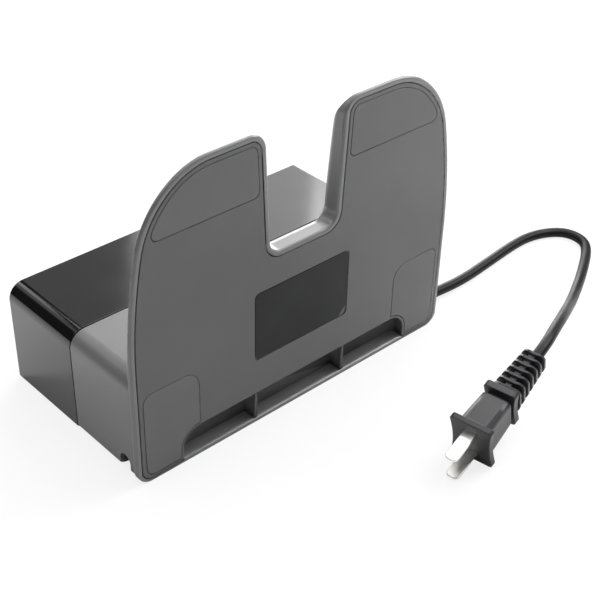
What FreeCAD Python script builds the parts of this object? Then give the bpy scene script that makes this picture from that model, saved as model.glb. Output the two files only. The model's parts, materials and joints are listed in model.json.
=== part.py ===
"""Charging dock of a robot vacuum, tipped onto its back so that its underside faces the front.

X runs across the dock. Y runs from the underside up through the tower, which is the dock's
height in use. Z runs from the back wall, which rests on the floor here, to the tips of the
ramp. Every piece is drawn with Y = 0 on the underside and moved to the dock's middle at the
end.
"""
import FreeCAD, Part
import math
import os

from FreeCAD import Vector

# Whole dock
plate_width = 187.2
plate_length = 146.5
tower_height = 99.0
tower_depth = 52.2

# Tower and seam
flank_width = 3.0
tower_width = plate_width - 2.0 * flank_width
tower_front_corner = 8.0
tower_back_corner = 1.2
tower_top_corner = 0.8
wall = 2.4
back_wall = 1.9
seam_rise = 0.3
seam_height = tower_height / 2.0 + seam_rise
seam_gap = 0.5
seam_edge = 0.3
lip_thickness = 1.1
lip_depth = 2.6
lip_clearance = 0.15

# Ramp and its outline
plate_corner = 8.0
foot_blend = 4.5
side_straight = tower_depth + foot_blend + 1.8
shoulder_half_width = plate_width / 2.0 - 6.1
shoulder_length = plate_length - 32.1
crown_half_width = plate_width / 2.0 - 23.3
crown_length = plate_length - 6.4
ramp_height = 11.0
ramp_edge_height = 2.2
ramp_bevel_run = 15.0
ramp_bevel_round = 18.0
ramp_skin = 1.9
rim_width = 2.4
back_rim_width = 1.0
rim_round = 1.2
ledge_width = 0.8

# Caster notch
notch_depth = 59.3
notch_floor = plate_length - notch_depth
notch_floor_half_width = 18.9
notch_mouth_half_width = 22.0
notch_floor_corner = 6.5
notch_mouth_corner = 8.5
notch_round = 5.0

# Bottom cover
cover_thickness = 2.0
cover_gap = 0.55
cover_edge = 0.35
cover_headroom = 0.4

# Cable channel in the bottom cover
channel_half_width = plate_width / 2.0 - 25.1
channel_high = 16.4
channel_depth = 7.5
channel_floor = 1.6
channel_wall = 1.6
channel_corner = 9.5
channel_round = 3.0
channel_edge = 0.6
channel_clearance = 0.15
channel_rib_x = 27.0
channel_rib_thickness = 1.6
channel_rib_drop = 0.5

# Foot pads and label
pad_thickness = 1.3
pad_recess = 1.2
pad_gap = 0.3
pad_edge = 0.25
front_pad_length = 28.5
front_pad_low = plate_length - front_pad_length
front_pad_inset = 5.0
front_pad_corner = 3.0
back_pad_inner = plate_width / 2.0 - 34.3
back_pad_outer = plate_width / 2.0 - 5.2
back_pad_low = 3.2
back_pad_high = tower_depth - 5.5
back_pad_inner_corner = 8.0
back_pad_outer_corner = 4.5
back_pad_channel_gap = 1.6
label_half_width = 27.5
label_low = channel_high + 19.1
label_high = notch_floor - 17.2
label_corner = 2.4
label_cut_corner = 4.5
label_thickness = 0.3
label_recess = 0.5
label_gap = 0.6

# Cable exits in the side walls
exit_centre_y = 13.1
exit_width = 7.4
exit_height = 8.6
exit_depth = 10.0

# Charging contacts, their guides and springs
contact_room_inner = notch_floor_half_width + 9.5
contact_room_outer = plate_width / 2.0 - 22.0
contact_x = (contact_room_inner + contact_room_outer) / 2.0
contact_z = notch_floor + 10.8
contact_width = 10.0
contact_corner = 2.2
contact_proud = 2.2
contact_sheet = 0.8
contact_flange = 1.5
contact_flange_gap = 0.1
contact_clearance = 0.3
contact_round = 1.4
guide_wall = 1.4
guide_floor = 1.0
guide_low = 2.3
guide_gap = 0.1
guide_ear_radius = 3.0
guide_ear_x = (contact_room_outer - contact_room_inner) / 2.0 - guide_ear_radius
guide_ear_step = 5.6
contact_length = 2.0 * (guide_ear_x - guide_ear_step)
guide_ear_low = 7.4
peg_radius = 1.3
peg_clearance = 0.1
peg_gap = 0.05
peg_head_radius = 2.2
peg_head_height = 0.9
spring_strip = 0.3
spring_width = 5.0
spring_share = 9.0 / 13.0
spring_span = contact_length * spring_share
spring_foot = 2.4

# Screws
screw_radius = 1.3
screw_head_radius = 2.6
screw_head_height = 1.6
screw_slot = 0.7
screw_slot_depth = 0.8
screw_clearance = 0.06
screw_slack = 0.3
pilot_spare = 0.5
boss_radius = 3.4
boss_web = 1.4
post_radius = 3.0
cover_screw_length = 6.0
tower_screw_length = 12.0
board_screw_length = 6.0
clamp_screw_length = 5.0
front_screw_x = plate_width / 2.0 - 35.6
front_screw_z = plate_length - 18.5
back_screw_x = tower_width / 2.0 - 16.0
back_screw_z = tower_depth / 2.0 - 0.1
back_boss_height = 14.0
screw_seat_floor = 1.0
screw_cup_wall = 1.3
tower_screw_x = tower_width / 2.0 - 12.0
tower_screw_z = (13.0, tower_depth - 13.2)
lug_height = seam_height - 3.8
lug_thickness = 3.0
lug_width = 9.6

# Mains board and what it carries
board_thickness = 1.6
board_corner = 1.5
board_top = 20.0
mains_board_half_width = tower_width / 2.0 - 34.0
mains_board_low = 20.0
mains_board_high = tower_depth - 3.0
mains_post_x = mains_board_half_width - 6.0
mains_post_inset = 4.0
core_length = 20.0
core_width = 16.0
core_height = 17.0
core_yoke = 3.5
core_side = 3.0
core_centre = 6.0
winding_wall = 2.6
winding_gap = 0.1
winding_corner = 2.0
transformer_x = mains_post_x * 0.28
capacitor_radius = 5.0
capacitor_height = 20.0
capacitor_round = 0.7
capacitor_bead = 0.6
capacitor_bead_height = 3.0
capacitor_x = -mains_post_x * 0.14
filter_length = 18.0
filter_width = 8.0
filter_height = 13.0
filter_round = 0.8
filter_x = -mains_post_x * 0.48
fuse_radius = 2.6
fuse_length = 20.0
fuse_cap_length = 5.0
fuse_cap_sheet = 0.25
fuse_x = mains_post_x * 0.66
fuse_lift = 0.6
fuse_clip_sheet = 0.5
fuse_clip_gap = 0.03
fuse_clip_width = 3.6
fuse_clip_foot = 4.4
fuse_clip_mouth = 0.75
terminal_length = 10.0
terminal_width = 8.0
terminal_height = 10.0
terminal_round = 0.6
terminal_pitch = 4.4
terminal_wire_height = 5.5
terminal_hole_depth = 4.0
terminal_well_radius = 1.5
terminal_well_depth = 2.5
terminal_well_shift = 0.5
terminal_x = mains_post_x - 6.0
output_terminal_x = 8.0 - mains_post_x

# Beacon board, its emitters, baffle and the power light
beacon_half_width = 38.0
beacon_height = 27.5
beacon_high = tower_height - 5.5
beacon_low = beacon_high - beacon_height
beacon_front = tower_depth - 12.2
beacon_post_x = 31.0
beacon_post_y = beacon_high - 5.5
emitter_radius = 2.5
emitter_flange_radius = 2.9
emitter_flange_height = 1.0
emitter_height = 8.4
emitter_x = 22.0
emitter_y = beacon_low + 8.0
baffle_half_width = 30.0
baffle_low = emitter_y - 5.0
baffle_high = emitter_y + 6.0
baffle_wall = 1.2
baffle_gap = 0.3
light_y = beacon_post_y
light_radius = 2.0
light_flange_radius = 3.0
light_flange_height = 1.0
light_back = tower_depth - 7.2
light_clearance = 0.1
light_proud = 0.2
light_round = 0.15
indicator_radius = 1.5
indicator_rim = 0.3
indicator_height = 4.4

# Cord, its clamp and the leads
cord_radius = 2.8
cord_clearance = 0.05
clamp_x = tower_width / 2.0 - 14.0
clamp_length = 7.0
clamp_thickness = 2.2
clamp_half_span = 7.6
clamp_end_margin = 3.0
clamp_boss_radius = 3.0
clamp_boss_z = 5.5
clamp_gap = 0.1
lead_radius = 0.8
mains_lead_radius = 1.1
mains_lead_step = 1.4
lead_clearance = 0.1
lead_entry = 2.0
lead_straight = 3.0
lead_climb_share = 0.6
beacon_lead_x = -28.0
beacon_lead_shift = Vector(4.0, 0.0, 0.4)
beacon_lead_rises = (0.195, 0.444, 0.694)

# Bends of the leads: from the cord's end, from the board's edge at a wire's hole, and from the
# board's edge in X, the underside in Y and the tower's front in Z
mains_lead_climb = [Vector(-6.0, 0.0, 0.0), Vector(-11.0, 4.4, 3.8), Vector(-12.5, 8.9, 13.8)]
mains_lead_turn = [Vector(1.0, 0.5, -3.0), Vector(-3.5, 0.0, 0.0)]
left_lead_turn = [Vector(-2.0, 0.0, 0.0)]
left_lead_drop = [Vector(-7.5, 17.0, -14.2), Vector(-6.5, 6.2, -5.2), Vector(-3.0, 5.6, 5.8)]
right_lead_turn = [Vector(-1.0, -0.5, 0.0)]
right_lead_drop = [Vector(-4.0, 14.0, -15.2), Vector(-2.5, 6.0, -6.2)]
lead_ramp_height = 5.4
right_lead_cross = [Vector(-42.0, 5.6, 5.8), Vector(-15.0, 6.0, 9.8), Vector(20.0, 5.6, 10.8)]

# Plug
plug_inboard = 65.2
plug_ahead = 82.1
plug_yaw = 190.0
plug_slant = -14.0
flange_width = 21.5
flange_height = 24.0
flange_thickness = 3.0
flange_waist = 1.3
flange_corner = 1.6
flange_edge = 0.4
grip_length = 19.5
grip_front_width = 16.0
grip_front_height = 18.0
grip_back_width = 14.6
grip_back_height = 16.0
grip_round = 2.6
grip_end_round = 1.0
neck_length = 1.6
neck_width = 11.0
neck_height = 12.0
neck_round = 2.0
ear_width = 16.8
ear_height = 20.0
ear_thickness = 3.6
ear_waist = 1.0
ear_corner = 1.8
boot_length = 27.8
boot_ribs = 7
boot_first_gap = 1.6
boot_rib_thickness = 2.1
boot_front_width = 14.4
boot_front_height = 13.0
boot_back_width = 11.4
boot_back_height = 10.0
boot_corner = 2.8
boot_core_share = 0.62
boot_spine_width = 3.2
boot_spine_round = 0.5
blade_spacing = 12.7
blade_width = 6.35
blade_thickness = 1.5
blade_length = 16.5
blade_root = 10.0
blade_tip_round = 2.0
blade_chamfer = 0.4

# The cord's route, from the clamp in the tower to the back of the plug's boot, with X from the
# tower's side wall. The last two points are worked out from the plug.
cord_route = [
    Vector(-17.5, 13.1, 5.2),
    Vector(6.0, 13.1, 5.2),
    Vector(40.0, 13.6, 3.0),
    Vector(64.0, 15.7, 3.0),
    Vector(83.0, 16.6, 3.0),
    Vector(98.0, 16.6, 3.0),
    Vector(110.8, 13.4, 3.0),
    Vector(119.2, 5.8, 3.0),
    Vector(119.6, -5.0, 3.0),
    Vector(112.8, -13.0, 3.0),
    Vector(93.0, -24.6, 3.0),
    Vector(75.5, -33.7, 4.6),
    Vector(58.7, -42.4, 9.2),
    Vector(41.5, -51.2, 16.2),
    Vector(24.9, -59.5, 22.8),
    Vector(10.4, -65.9, 26.6),
]
boot_lead_length = 10.0

# Levels that follow from the sizes above
seam_low = seam_height - seam_gap / 2.0
seam_high = seam_height + seam_gap / 2.0
cover_seat = cover_thickness + cover_headroom
ceiling = ramp_height - ramp_skin
pad_proud = pad_thickness - pad_recess
middle_y = (tower_height - pad_proud) / 2.0
board_bottom = board_top - board_thickness
board_middle_z = (mains_board_low + mains_board_high) / 2.0
screw_seat = pad_recess + screw_head_height + 0.1
boss_low = screw_seat + screw_seat_floor + screw_clearance
fuse_centre_y = board_top + fuse_lift + fuse_radius
terminal_wire_y = board_top + terminal_wire_height
terminal_rows = (board_middle_z + terminal_pitch / 2.0, board_middle_z - terminal_pitch / 2.0)
clamp_foot_z = clamp_boss_z + clamp_gap
exit_inner_x = tower_width / 2.0 - exit_depth
side_wall = Vector(tower_width / 2.0, 0.0, 0.0)
sheath_end = side_wall + cord_route[0]


def polar(length, angle):
    """A step in the XZ plane, with the angle in radians from +X towards +Z."""
    return Vector(length * math.cos(angle), 0.0, length * math.sin(angle))


def box(low, high):
    """A box between two opposite corners."""
    size = high - low
    return Part.makeBox(size.x, size.y, size.z, low)


def rod(radius, start, end):
    """A round rod from one centre to another."""
    axis = end - start
    return Part.makeCylinder(radius, axis.Length, start, axis)


def rod_y(radius, x, z, low, high):
    """A round rod that stands on the underside's plane, between two heights."""
    return rod(radius, Vector(x, low, z), Vector(x, high, z))


def upright_edges(shape, test=lambda p: True):
    """The straight edges that run from the underside's side to the tower's, if they pass a test."""
    return [edge for edge in shape.Edges if runs_along(edge, Vector(0, 1, 0)) and test(edge.CenterOfMass)]


def polygon_face(points):
    """A flat face with straight sides."""
    return Part.Face(Part.makePolygon(list(points) + [points[0]]))


def pick(shape, test):
    """The edges whose middle passes a test."""
    return [edge for edge in shape.Edges if test(edge.CenterOfMass, edge)]


def runs_along(edge, direction):
    """True if an edge is straight and parallel to a direction."""
    if len(edge.Vertexes) != 2:
        return False
    chord = edge.Vertexes[1].Point - edge.Vertexes[0].Point
    straight = abs(chord.Length - edge.Length) < 1e-4
    return straight and chord.cross(direction).Length < 1e-4 * max(chord.Length, 1e-6)


def touches(point, block):
    """True if a point lies on a block's surface."""
    return Part.Vertex(point).distToShape(block.Shells[0])[0] < 0.01


def mirror_x(shape):
    """The same piece on the other side of the dock."""
    return shape.mirror(Vector(0, 0, 0), Vector(1, 0, 0))


def both_sides(shape):
    """A piece and its mirror image."""
    return [shape, mirror_x(shape)]


def tangent_arc(start, heading, end):
    """An arc that leaves start at a heading and reaches end, and its heading there."""
    chord = end - start
    turn = math.atan2(chord.z, chord.x) - heading
    radius = chord.Length / (2.0 * math.sin(turn))
    middle = start + polar(2.0 * radius * math.sin(turn / 2.0), heading + turn / 2.0)
    return Part.Arc(start, middle, end).toShape(), heading + 2.0 * turn


def plate_face(inset, bottom, level, corner):
    """The ramp's outline without its notch, set in from the edge, at a height above the floor."""
    half = plate_width / 2.0 - inset
    up = math.pi / 2.0
    side_end = Vector(half, level, side_straight)
    shoulder = Vector(shoulder_half_width, level, shoulder_length)
    crown = Vector(crown_half_width, level, crown_length)
    side_outer = Vector(plate_width / 2.0, level, side_straight)
    shoulder_heading = tangent_arc(side_outer, up, shoulder)[1]
    crown_heading = tangent_arc(shoulder, shoulder_heading, crown)[1]
    last_turn = (math.pi - crown_heading) / 2.0
    rise = plate_length - crown.z
    tip = Vector(crown.x - rise * math.tan(last_turn + crown_heading - up), level, plate_length)
    shoulder = shoulder + polar(inset, shoulder_heading + up)
    crown = crown + polar(inset, crown_heading + up)
    tip = tip - Vector(0, 0, inset)
    side_arc, heading = tangent_arc(side_end, up, shoulder)
    shoulder_arc, heading = tangent_arc(shoulder, heading, crown)
    crown_arc = tangent_arc(crown, heading, tip)[0]
    corner_start = Vector(half - corner, level, bottom)
    corner_end = Vector(half, level, bottom + corner)
    right = [Part.makeLine(Vector(0, level, bottom), corner_start)]
    if corner > 0:
        corner_middle = Vector(half - corner, level, bottom + corner) + polar(corner, -math.pi / 4.0)
        right.append(Part.Arc(corner_start, corner_middle, corner_end).toShape())
    right += [
        Part.makeLine(corner_end, side_end),
        side_arc,
        shoulder_arc,
        crown_arc,
        Part.makeLine(tip, Vector(0, level, plate_length - inset)),
    ]
    edges = right + [mirror_x(edge) for edge in right]
    return Part.Face(Part.Wire(Part.sortEdges(edges)[0]))


def notch_prism(grow, low, high):
    """The space of the caster notch, made wider by an amount on every wall.

    Its mouth turns outwards in an arc, so that it leaves the ramp's tips with round corners.
    """
    rise = plate_length - notch_floor
    lean = math.atan2(notch_mouth_half_width - notch_floor_half_width, rise)
    radius = max(notch_mouth_corner - grow, 0.5)
    floor = notch_floor - grow
    mouth = plate_length - grow
    floor_half = notch_floor_half_width + grow * (1.0 / math.cos(lean) - math.tan(lean))
    mouth_half = floor_half + (mouth - floor) * math.tan(lean)
    leg = radius * math.tan((math.pi / 2.0 - lean) / 2.0)
    wall_end = Vector(mouth_half, low, mouth) - Vector(math.sin(lean), 0, math.cos(lean)) * leg
    arc_end = Vector(mouth_half + leg, low, mouth)
    centre = arc_end - Vector(0, 0, radius)
    arc_middle = centre + polar(radius, (math.pi / 2.0 + math.pi - lean) / 2.0)
    above = Vector(arc_end.x, low, plate_length + tower_depth)
    right = [
        Part.makeLine(Vector(0, low, floor), Vector(floor_half, low, floor)),
        Part.makeLine(Vector(floor_half, low, floor), wall_end),
        Part.Arc(wall_end, arc_middle, arc_end).toShape(),
        Part.makeLine(arc_end, above),
        Part.makeLine(above, Vector(0, low, above.z)),
    ]
    edges = right + [mirror_x(edge) for edge in right]
    prism = Part.Face(Part.Wire(Part.sortEdges(edges)[0])).extrude(Vector(0, high - low, 0))
    prism = prism.removeSplitter()
    corners = upright_edges(prism, lambda p: p.z < notch_floor + 1.0 and abs(p.x) > 1.0)
    return prism.makeFillet(notch_floor_corner + grow, corners)


def pillow(inset, bottom, edge_height, height, bevel_run, ridge_round):
    """The ramp's body without its notch: upright at its edge and bevelled up to its top."""
    low = plate_face(inset, bottom, 0.0, 0.0)
    edge = plate_face(inset, bottom, edge_height, 0.0)
    top = plate_face(inset + bevel_run, bottom, height, 0.0)
    upright = low.extrude(Vector(0, edge_height, 0))
    bevel = Part.makeLoft([edge.OuterWire, top.OuterWire], True, True)
    body = upright.fuse(bevel).removeSplitter()
    return body.makeFillet(ridge_round, pick(body, lambda p, e: p.y > height - 0.01 and p.z > bottom + 0.1))


def tower_block(inset, low, high, bottom):
    """The tower's outline, set in by a wall, between two heights above the underside."""
    half = tower_width / 2.0 - inset
    block = box(Vector(-half, low, bottom), Vector(half, high, tower_depth - inset))
    front = upright_edges(block, lambda p: p.z > tower_depth / 2.0)
    return block.makeFillet(tower_front_corner - inset, front)


def plate_block(inset, bottom, low, high, corner):
    """The ramp's outline without its notch, as a block between two heights."""
    return plate_face(inset, bottom, low, corner).extrude(Vector(0, high - low, 0))


def notch_space(grow, height, edge_round):
    """The notch's space up to a height, with the room above its rounded upper edge."""
    reach = grow + edge_round + 0.5
    space = notch_prism(grow, -1.0, height + 1.0)
    walls = notch_prism(reach, 0.0, height).cut(space)
    brow = pick(walls, lambda p, e: p.y > height - 0.01 and touches(p, space))
    walls = walls.makeFillet(edge_round, brow)
    return space.fuse(notch_prism(reach, height - edge_round, height + 1.0).cut(walls))


def shell_outside():
    """The grey shell without its hollow: the ramp, the lower half of the tower and the foot."""
    behind = -20.0
    half = tower_width / 2.0
    ramp = pillow(0.0, behind, ramp_edge_height, ramp_height, ramp_bevel_run, ramp_bevel_round)
    ramp = ramp.cut(notch_space(0.0, ramp_height, notch_round))
    under = pick(ramp, lambda p, e: abs(p.y) < 0.01 and p.z > behind + 0.1)
    ramp = ramp.makeFillet(rim_round, under)
    body = ramp.fuse(tower_block(0.0, 0.0, seam_low, behind)).removeSplitter()
    slope = (ramp_height - ramp_edge_height) / ramp_bevel_run
    flank = ramp_edge_height + (plate_width / 2.0 - half) * slope
    foot = pick(body, lambda p, e: abs(p.z - tower_depth) < 0.01 and p.y < ramp_height + 0.1
                and e.Length > 3.0)
    foot += pick(body, lambda p, e: abs(abs(p.x) - half) < 0.01 and 1.0 < p.y < ramp_height
                 and p.z < tower_depth - tower_front_corner and e.Length > 20.0)
    foot += pick(body, lambda p, e: half - tower_front_corner < abs(p.x) < half - 0.1
                 and abs(p.y - flank) < 1.6
                 and tower_depth - tower_front_corner < p.z < tower_depth - 0.1)
    body = body.makeFillet(foot_blend, foot)
    return body.common(plate_block(0.0, 0.0, -1.0, tower_height, plate_corner))


def shell_inside():
    """The hollow of the grey shell, open below and at the seam."""
    slope = (ramp_height - ramp_edge_height) / ramp_bevel_run
    run = (ceiling - cover_seat) / slope
    round_in = ramp_bevel_round - ramp_skin
    inset = rim_width + ledge_width
    hollow = pillow(inset, back_wall, cover_seat, ceiling, run, round_in)
    hollow = hollow.cut(notch_space(rim_width, ceiling, notch_round - ramp_skin))
    hollow = hollow.common(plate_block(inset, back_wall, -1.0, ramp_height + 1.0, plate_corner - inset))
    hollow = hollow.fuse(tower_block(wall, cover_seat, seam_low + 1.0, wall))
    strip = plate_block(rim_width, back_rim_width, -1.0, cover_seat, plate_corner - rim_width)
    strip = strip.cut(notch_prism(rim_width, -2.0, cover_seat + 1.0))
    middle = box(
        Vector(-channel_half_width, -2.0, 0.0),
        Vector(channel_half_width, cover_seat + 1.0, back_wall),
    )
    return hollow.fuse(strip.cut(middle))


def exit_cut():
    """The arched notch in the right side wall that the cord leaves through."""
    half = exit_width / 2.0
    low = Vector(exit_inner_x, exit_centre_y - half, -1.0)
    high = Vector(plate_width / 2.0 + 1.0, exit_centre_y + half, exit_height - half)
    arch_start = Vector(exit_inner_x, exit_centre_y, exit_height - half)
    arch_end = Vector(plate_width / 2.0 + 1.0, exit_centre_y, exit_height - half)
    return box(low, high).fuse(rod(half, arch_start, arch_end))


def contact_opening(grow):
    """The rounded opening of a contact in the ramp, grown by an amount on every side."""
    half_x = contact_length / 2.0 + grow
    half_z = contact_width / 2.0 + grow
    low = Vector(contact_x - half_x, ceiling - 1.0, contact_z - half_z)
    high = Vector(contact_x + half_x, ramp_height + 1.0, contact_z + half_z)
    opening = box(low, high)
    return opening.makeFillet(contact_corner + grow, upright_edges(opening))


def guide_ears(reach, low, high):
    """Round ears at both ends of a contact's guide, as one solid with the strip between."""
    strip = box(
        Vector(contact_x - guide_ear_x, low, contact_z - reach),
        Vector(contact_x + guide_ear_x, high, contact_z + reach),
    )
    ends = [rod_y(reach, contact_x + side * guide_ear_x, contact_z, low, high) for side in (-1, 1)]
    return strip.fuse(ends).removeSplitter()


def stake_pegs():
    """The two pegs in the right half of the shell whose melted heads hold a contact's guide."""
    foot = guide_ear_low - peg_gap
    pegs = []
    for side in (-1, 1):
        x = contact_x + side * guide_ear_x
        pegs.append(rod_y(peg_radius, x, contact_z, foot - 0.1, ceiling + 1.0))
        head = rod_y(peg_head_radius, x, contact_z, foot - peg_head_height, foot)
        pegs.append(head.makeFillet(peg_head_height * 0.6, pick(head, lambda p, e: p.y < foot - 0.1)))
    return pegs


def clamp_seats():
    """The two bosses behind the cord's clamp and the cradle that the cord lies in."""
    pieces = []
    for side in (-1, 1):
        start = Vector(clamp_x, exit_centre_y + side * clamp_half_span, back_wall / 2.0)
        pieces.append(rod(clamp_boss_radius, start, start + Vector(0, 0, clamp_boss_z - start.z)))
    cord_z = sheath_end.z
    cradle = box(
        Vector(clamp_x - clamp_length / 2.0, exit_centre_y - cord_radius, back_wall / 2.0),
        Vector(clamp_x + clamp_length / 2.0, exit_centre_y + cord_radius, cord_z - cord_radius / 2.0),
    )
    groove = rod(
        cord_radius + cord_clearance,
        Vector(clamp_x - clamp_length, exit_centre_y, cord_z),
        Vector(clamp_x + clamp_length, exit_centre_y, cord_z),
    )
    return pieces + [cradle.cut(groove)]


def make_base_shell():
    """Grey lower shell: the ramp and the lower half of the tower, open below and above."""
    shell = shell_outside().cut(shell_inside())
    side_inner = tower_width / 2.0 - wall
    for x, z, top in cover_screw_places():
        shell = shell.fuse(rod_y(boss_radius, x, z, boss_low, top))
    web_low = Vector(back_screw_x, boss_low, back_screw_z - boss_web / 2.0)
    web_high = Vector(side_inner + 1.0, back_boss_height, back_screw_z + boss_web / 2.0)
    for web in both_sides(box(web_low, web_high)):
        shell = shell.fuse(web)
    for z in tower_screw_z:
        lug = box(
            Vector(tower_screw_x, lug_height - lug_thickness, z - lug_width / 2.0),
            Vector(side_inner + 1.0, lug_height, z + lug_width / 2.0),
        )
        low = lug_height - lug_thickness
        end = rod_y(lug_width / 2.0, tower_screw_x, z, low, lug_height)
        hole = rod_y(screw_radius + screw_slack, tower_screw_x, z, low - 1.0, lug_height + 1.0)
        for half_lug in both_sides(lug.fuse(end).cut(hole)):
            shell = shell.fuse(half_lug)
    for piece in stake_pegs():
        shell = shell.fuse(both_sides(piece))
    for piece in clamp_seats():
        shell = shell.fuse(piece)
    for x, z, top in cover_screw_places():
        end = screw_seat + cover_screw_length + pilot_spare
        shell = shell.cut(pilot(Vector(x, boss_low - 1.0, z), Vector(x, end, z)))
    for side in (-1, 1):
        y = exit_centre_y + side * clamp_half_span
        end_z = clamp_foot_z + clamp_thickness - clamp_screw_length - pilot_spare
        shell = shell.cut(pilot(Vector(clamp_x, y, clamp_boss_z + 1.0), Vector(clamp_x, y, end_z)))
    for opening in both_sides(exit_cut()) + both_sides(contact_opening(contact_clearance)):
        shell = shell.cut(opening)
    shell = shell.removeSplitter()
    edge = pick(shell, lambda p, e: abs(p.y - seam_low) < 0.01 and on_outline(p))
    return shell.makeFillet(seam_edge, edge)


def on_outline(point):
    """True if a point lies on the tower's outer outline and not on its inner one."""
    half = tower_width / 2.0
    slack = tower_front_corner / 3.0
    beside = abs(abs(point.x) - half) < 0.01 or abs(point.z) < 0.01 or abs(point.z - tower_depth) < 0.01
    corner = abs(point.x) > half - slack and point.z > tower_depth - slack
    return beside or corner


def cover_screw_places():
    """Place of each screw of the bottom cover: X, Z and the height that its boss reaches."""
    inside_skin = ceiling + 1.0
    places = []
    for side in (-1, 1):
        places.append((side * front_screw_x, front_screw_z, inside_skin))
        places.append((side * back_screw_x, back_screw_z, back_boss_height))
    return places


def pilot(start, end):
    """The hole that a screw cuts its thread into."""
    return rod(screw_radius + screw_clearance, start, end)


def channel_block(grow, low, high):
    """The cable channel's outline, grown by an amount, between two heights."""
    block = box(
        Vector(-channel_half_width - grow, low, -1.0),
        Vector(channel_half_width + grow, high, channel_high + grow),
    )
    return block.makeFillet(channel_corner + grow, upright_edges(block, lambda p: p.z > 0))


def back_pad_block(grow, low, high):
    """A back pad's outline on the right, with its inner lower end cut round the channel."""
    block = box(
        Vector(back_pad_inner - grow, low, back_pad_low - grow),
        Vector(back_pad_outer + grow, high, back_pad_high + grow),
    )
    inner = upright_edges(block, lambda p: p.z > back_pad_high - 1.0 and p.x < back_pad_inner + 1.0)
    block = block.makeFillet(back_pad_inner_corner + grow, inner)
    outer = upright_edges(block, lambda p: p.x > back_pad_outer - 1.0)
    block = block.makeFillet(back_pad_outer_corner + grow, outer)
    block = block.cut(channel_block(back_pad_channel_gap - grow, low - 1.0, high + 1.0))
    return block


def front_pad_block(grow, low, high):
    """A front pad's outline on the right, which follows the ramp's tip and the notch."""
    inset = front_pad_inset - grow
    block = plate_block(inset, back_wall, low, high, plate_corner)
    block = block.cut(notch_prism(inset, low - 1.0, high + 1.0))
    block = block.common(box(
        Vector(0, low - 1.0, front_pad_low - grow),
        Vector(plate_width, high + 1.0, plate_length),
    ))
    lower = upright_edges(block, lambda p: p.z < front_pad_low + 1.0)
    return block.makeFillet(front_pad_corner + grow, lower)


def label_block(grow, low, high):
    """The label's rectangle with round corners, grown by an amount on every side."""
    block = box(
        Vector(-label_half_width - grow, low, label_low - grow),
        Vector(label_half_width + grow, high, label_high + grow),
    )
    return block.makeFillet(label_corner, upright_edges(block))


def make_label():
    """The rating label, with one corner cut off."""
    low = label_recess - label_thickness
    corner = Vector(label_half_width, low, label_low)
    wedge = polygon_face([
        corner - Vector(label_cut_corner, 0, 1.0),
        corner - Vector(label_cut_corner, 0, 0),
        corner + Vector(0, 0, label_cut_corner),
        corner + Vector(1.0, 0, label_cut_corner),
        corner + Vector(1.0, 0, -1.0),
    ])
    return label_block(0.0, low, label_recess).cut(wedge.extrude(Vector(0, label_thickness, 0)))


def make_bottom_cover():
    """Flat cover of the underside, with the cable channel, recesses and the board's posts."""
    inset = rim_width + cover_gap
    bottom = back_rim_width + cover_gap
    cover = plate_block(inset, bottom, 0.0, cover_thickness, plate_corner - inset)
    cover = cover.cut(notch_prism(inset, -1.0, cover_thickness + 1.0))
    cover = cover.makeFillet(cover_edge, pick(cover, lambda p, e: abs(p.y) < 0.01))
    tray_low = back_wall + channel_clearance
    tray = channel_block(channel_wall, 0.0, channel_depth + channel_floor)
    front = box(
        Vector(-plate_width, -1.0, tray_low),
        Vector(plate_width, channel_depth + channel_floor + 1.0, plate_length),
    )
    below = box(
        Vector(-channel_half_width - channel_wall, -1.0, 0.0),
        Vector(channel_half_width + channel_wall, cover_thickness + 1.0, tray_low),
    )
    cover = cover.cut(below).fuse(tray.common(front))
    room = channel_block(0.0, -1.0, channel_depth)
    deep = pick(room, lambda p, e: abs(p.y - channel_depth) < 0.01 and p.z > 0.0)
    cover = cover.cut(room.makeFillet(channel_round, deep))
    mouth = pick(cover, lambda p, e: abs(p.y) < 0.01 and touches(p, room))
    cover = cover.makeFillet(channel_edge, mouth)
    for side in (-1, 1):
        x = side * channel_rib_x
        cover = cover.fuse(box(
            Vector(x - channel_rib_thickness / 2.0, channel_rib_drop, tray_low),
            Vector(x + channel_rib_thickness / 2.0, channel_depth + 0.5, channel_high + 0.5),
        ))
    for x, z in board_screw_places():
        cover = cover.fuse(rod_y(post_radius, x, z, cover_thickness - 0.5, board_bottom))
    well = screw_head_radius + screw_slack
    for x, z, top in cover_screw_places():
        cup_top = screw_seat + screw_seat_floor
        cover = cover.fuse(rod_y(well + screw_cup_wall, x, z, cover_thickness - 0.5, cup_top))
    for x, z, top in cover_screw_places():
        cover = cover.cut(rod_y(well, x, z, -1.0, screw_seat))
        cover = cover.cut(rod_y(screw_radius + screw_slack, x, z, 0.0, boss_low))
    for x, z in board_screw_places():
        low = board_top - board_screw_length - pilot_spare
        cover = cover.cut(pilot(Vector(x, low, z), Vector(x, board_top, z)))
    cover = cover.cut(label_block(label_gap, -1.0, label_recess))
    for recess in both_sides(back_pad_block(pad_gap, -1.0, pad_recess)):
        cover = cover.cut(recess)
    for recess in both_sides(front_pad_block(pad_gap, -1.0, pad_recess)):
        cover = cover.cut(recess)
    return cover.removeSplitter()


def make_pad(block):
    """A foot pad with its outer edge broken."""
    return block.makeFillet(pad_edge, pick(block, lambda p, e: abs(p.y + pad_proud) < 0.01))


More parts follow.
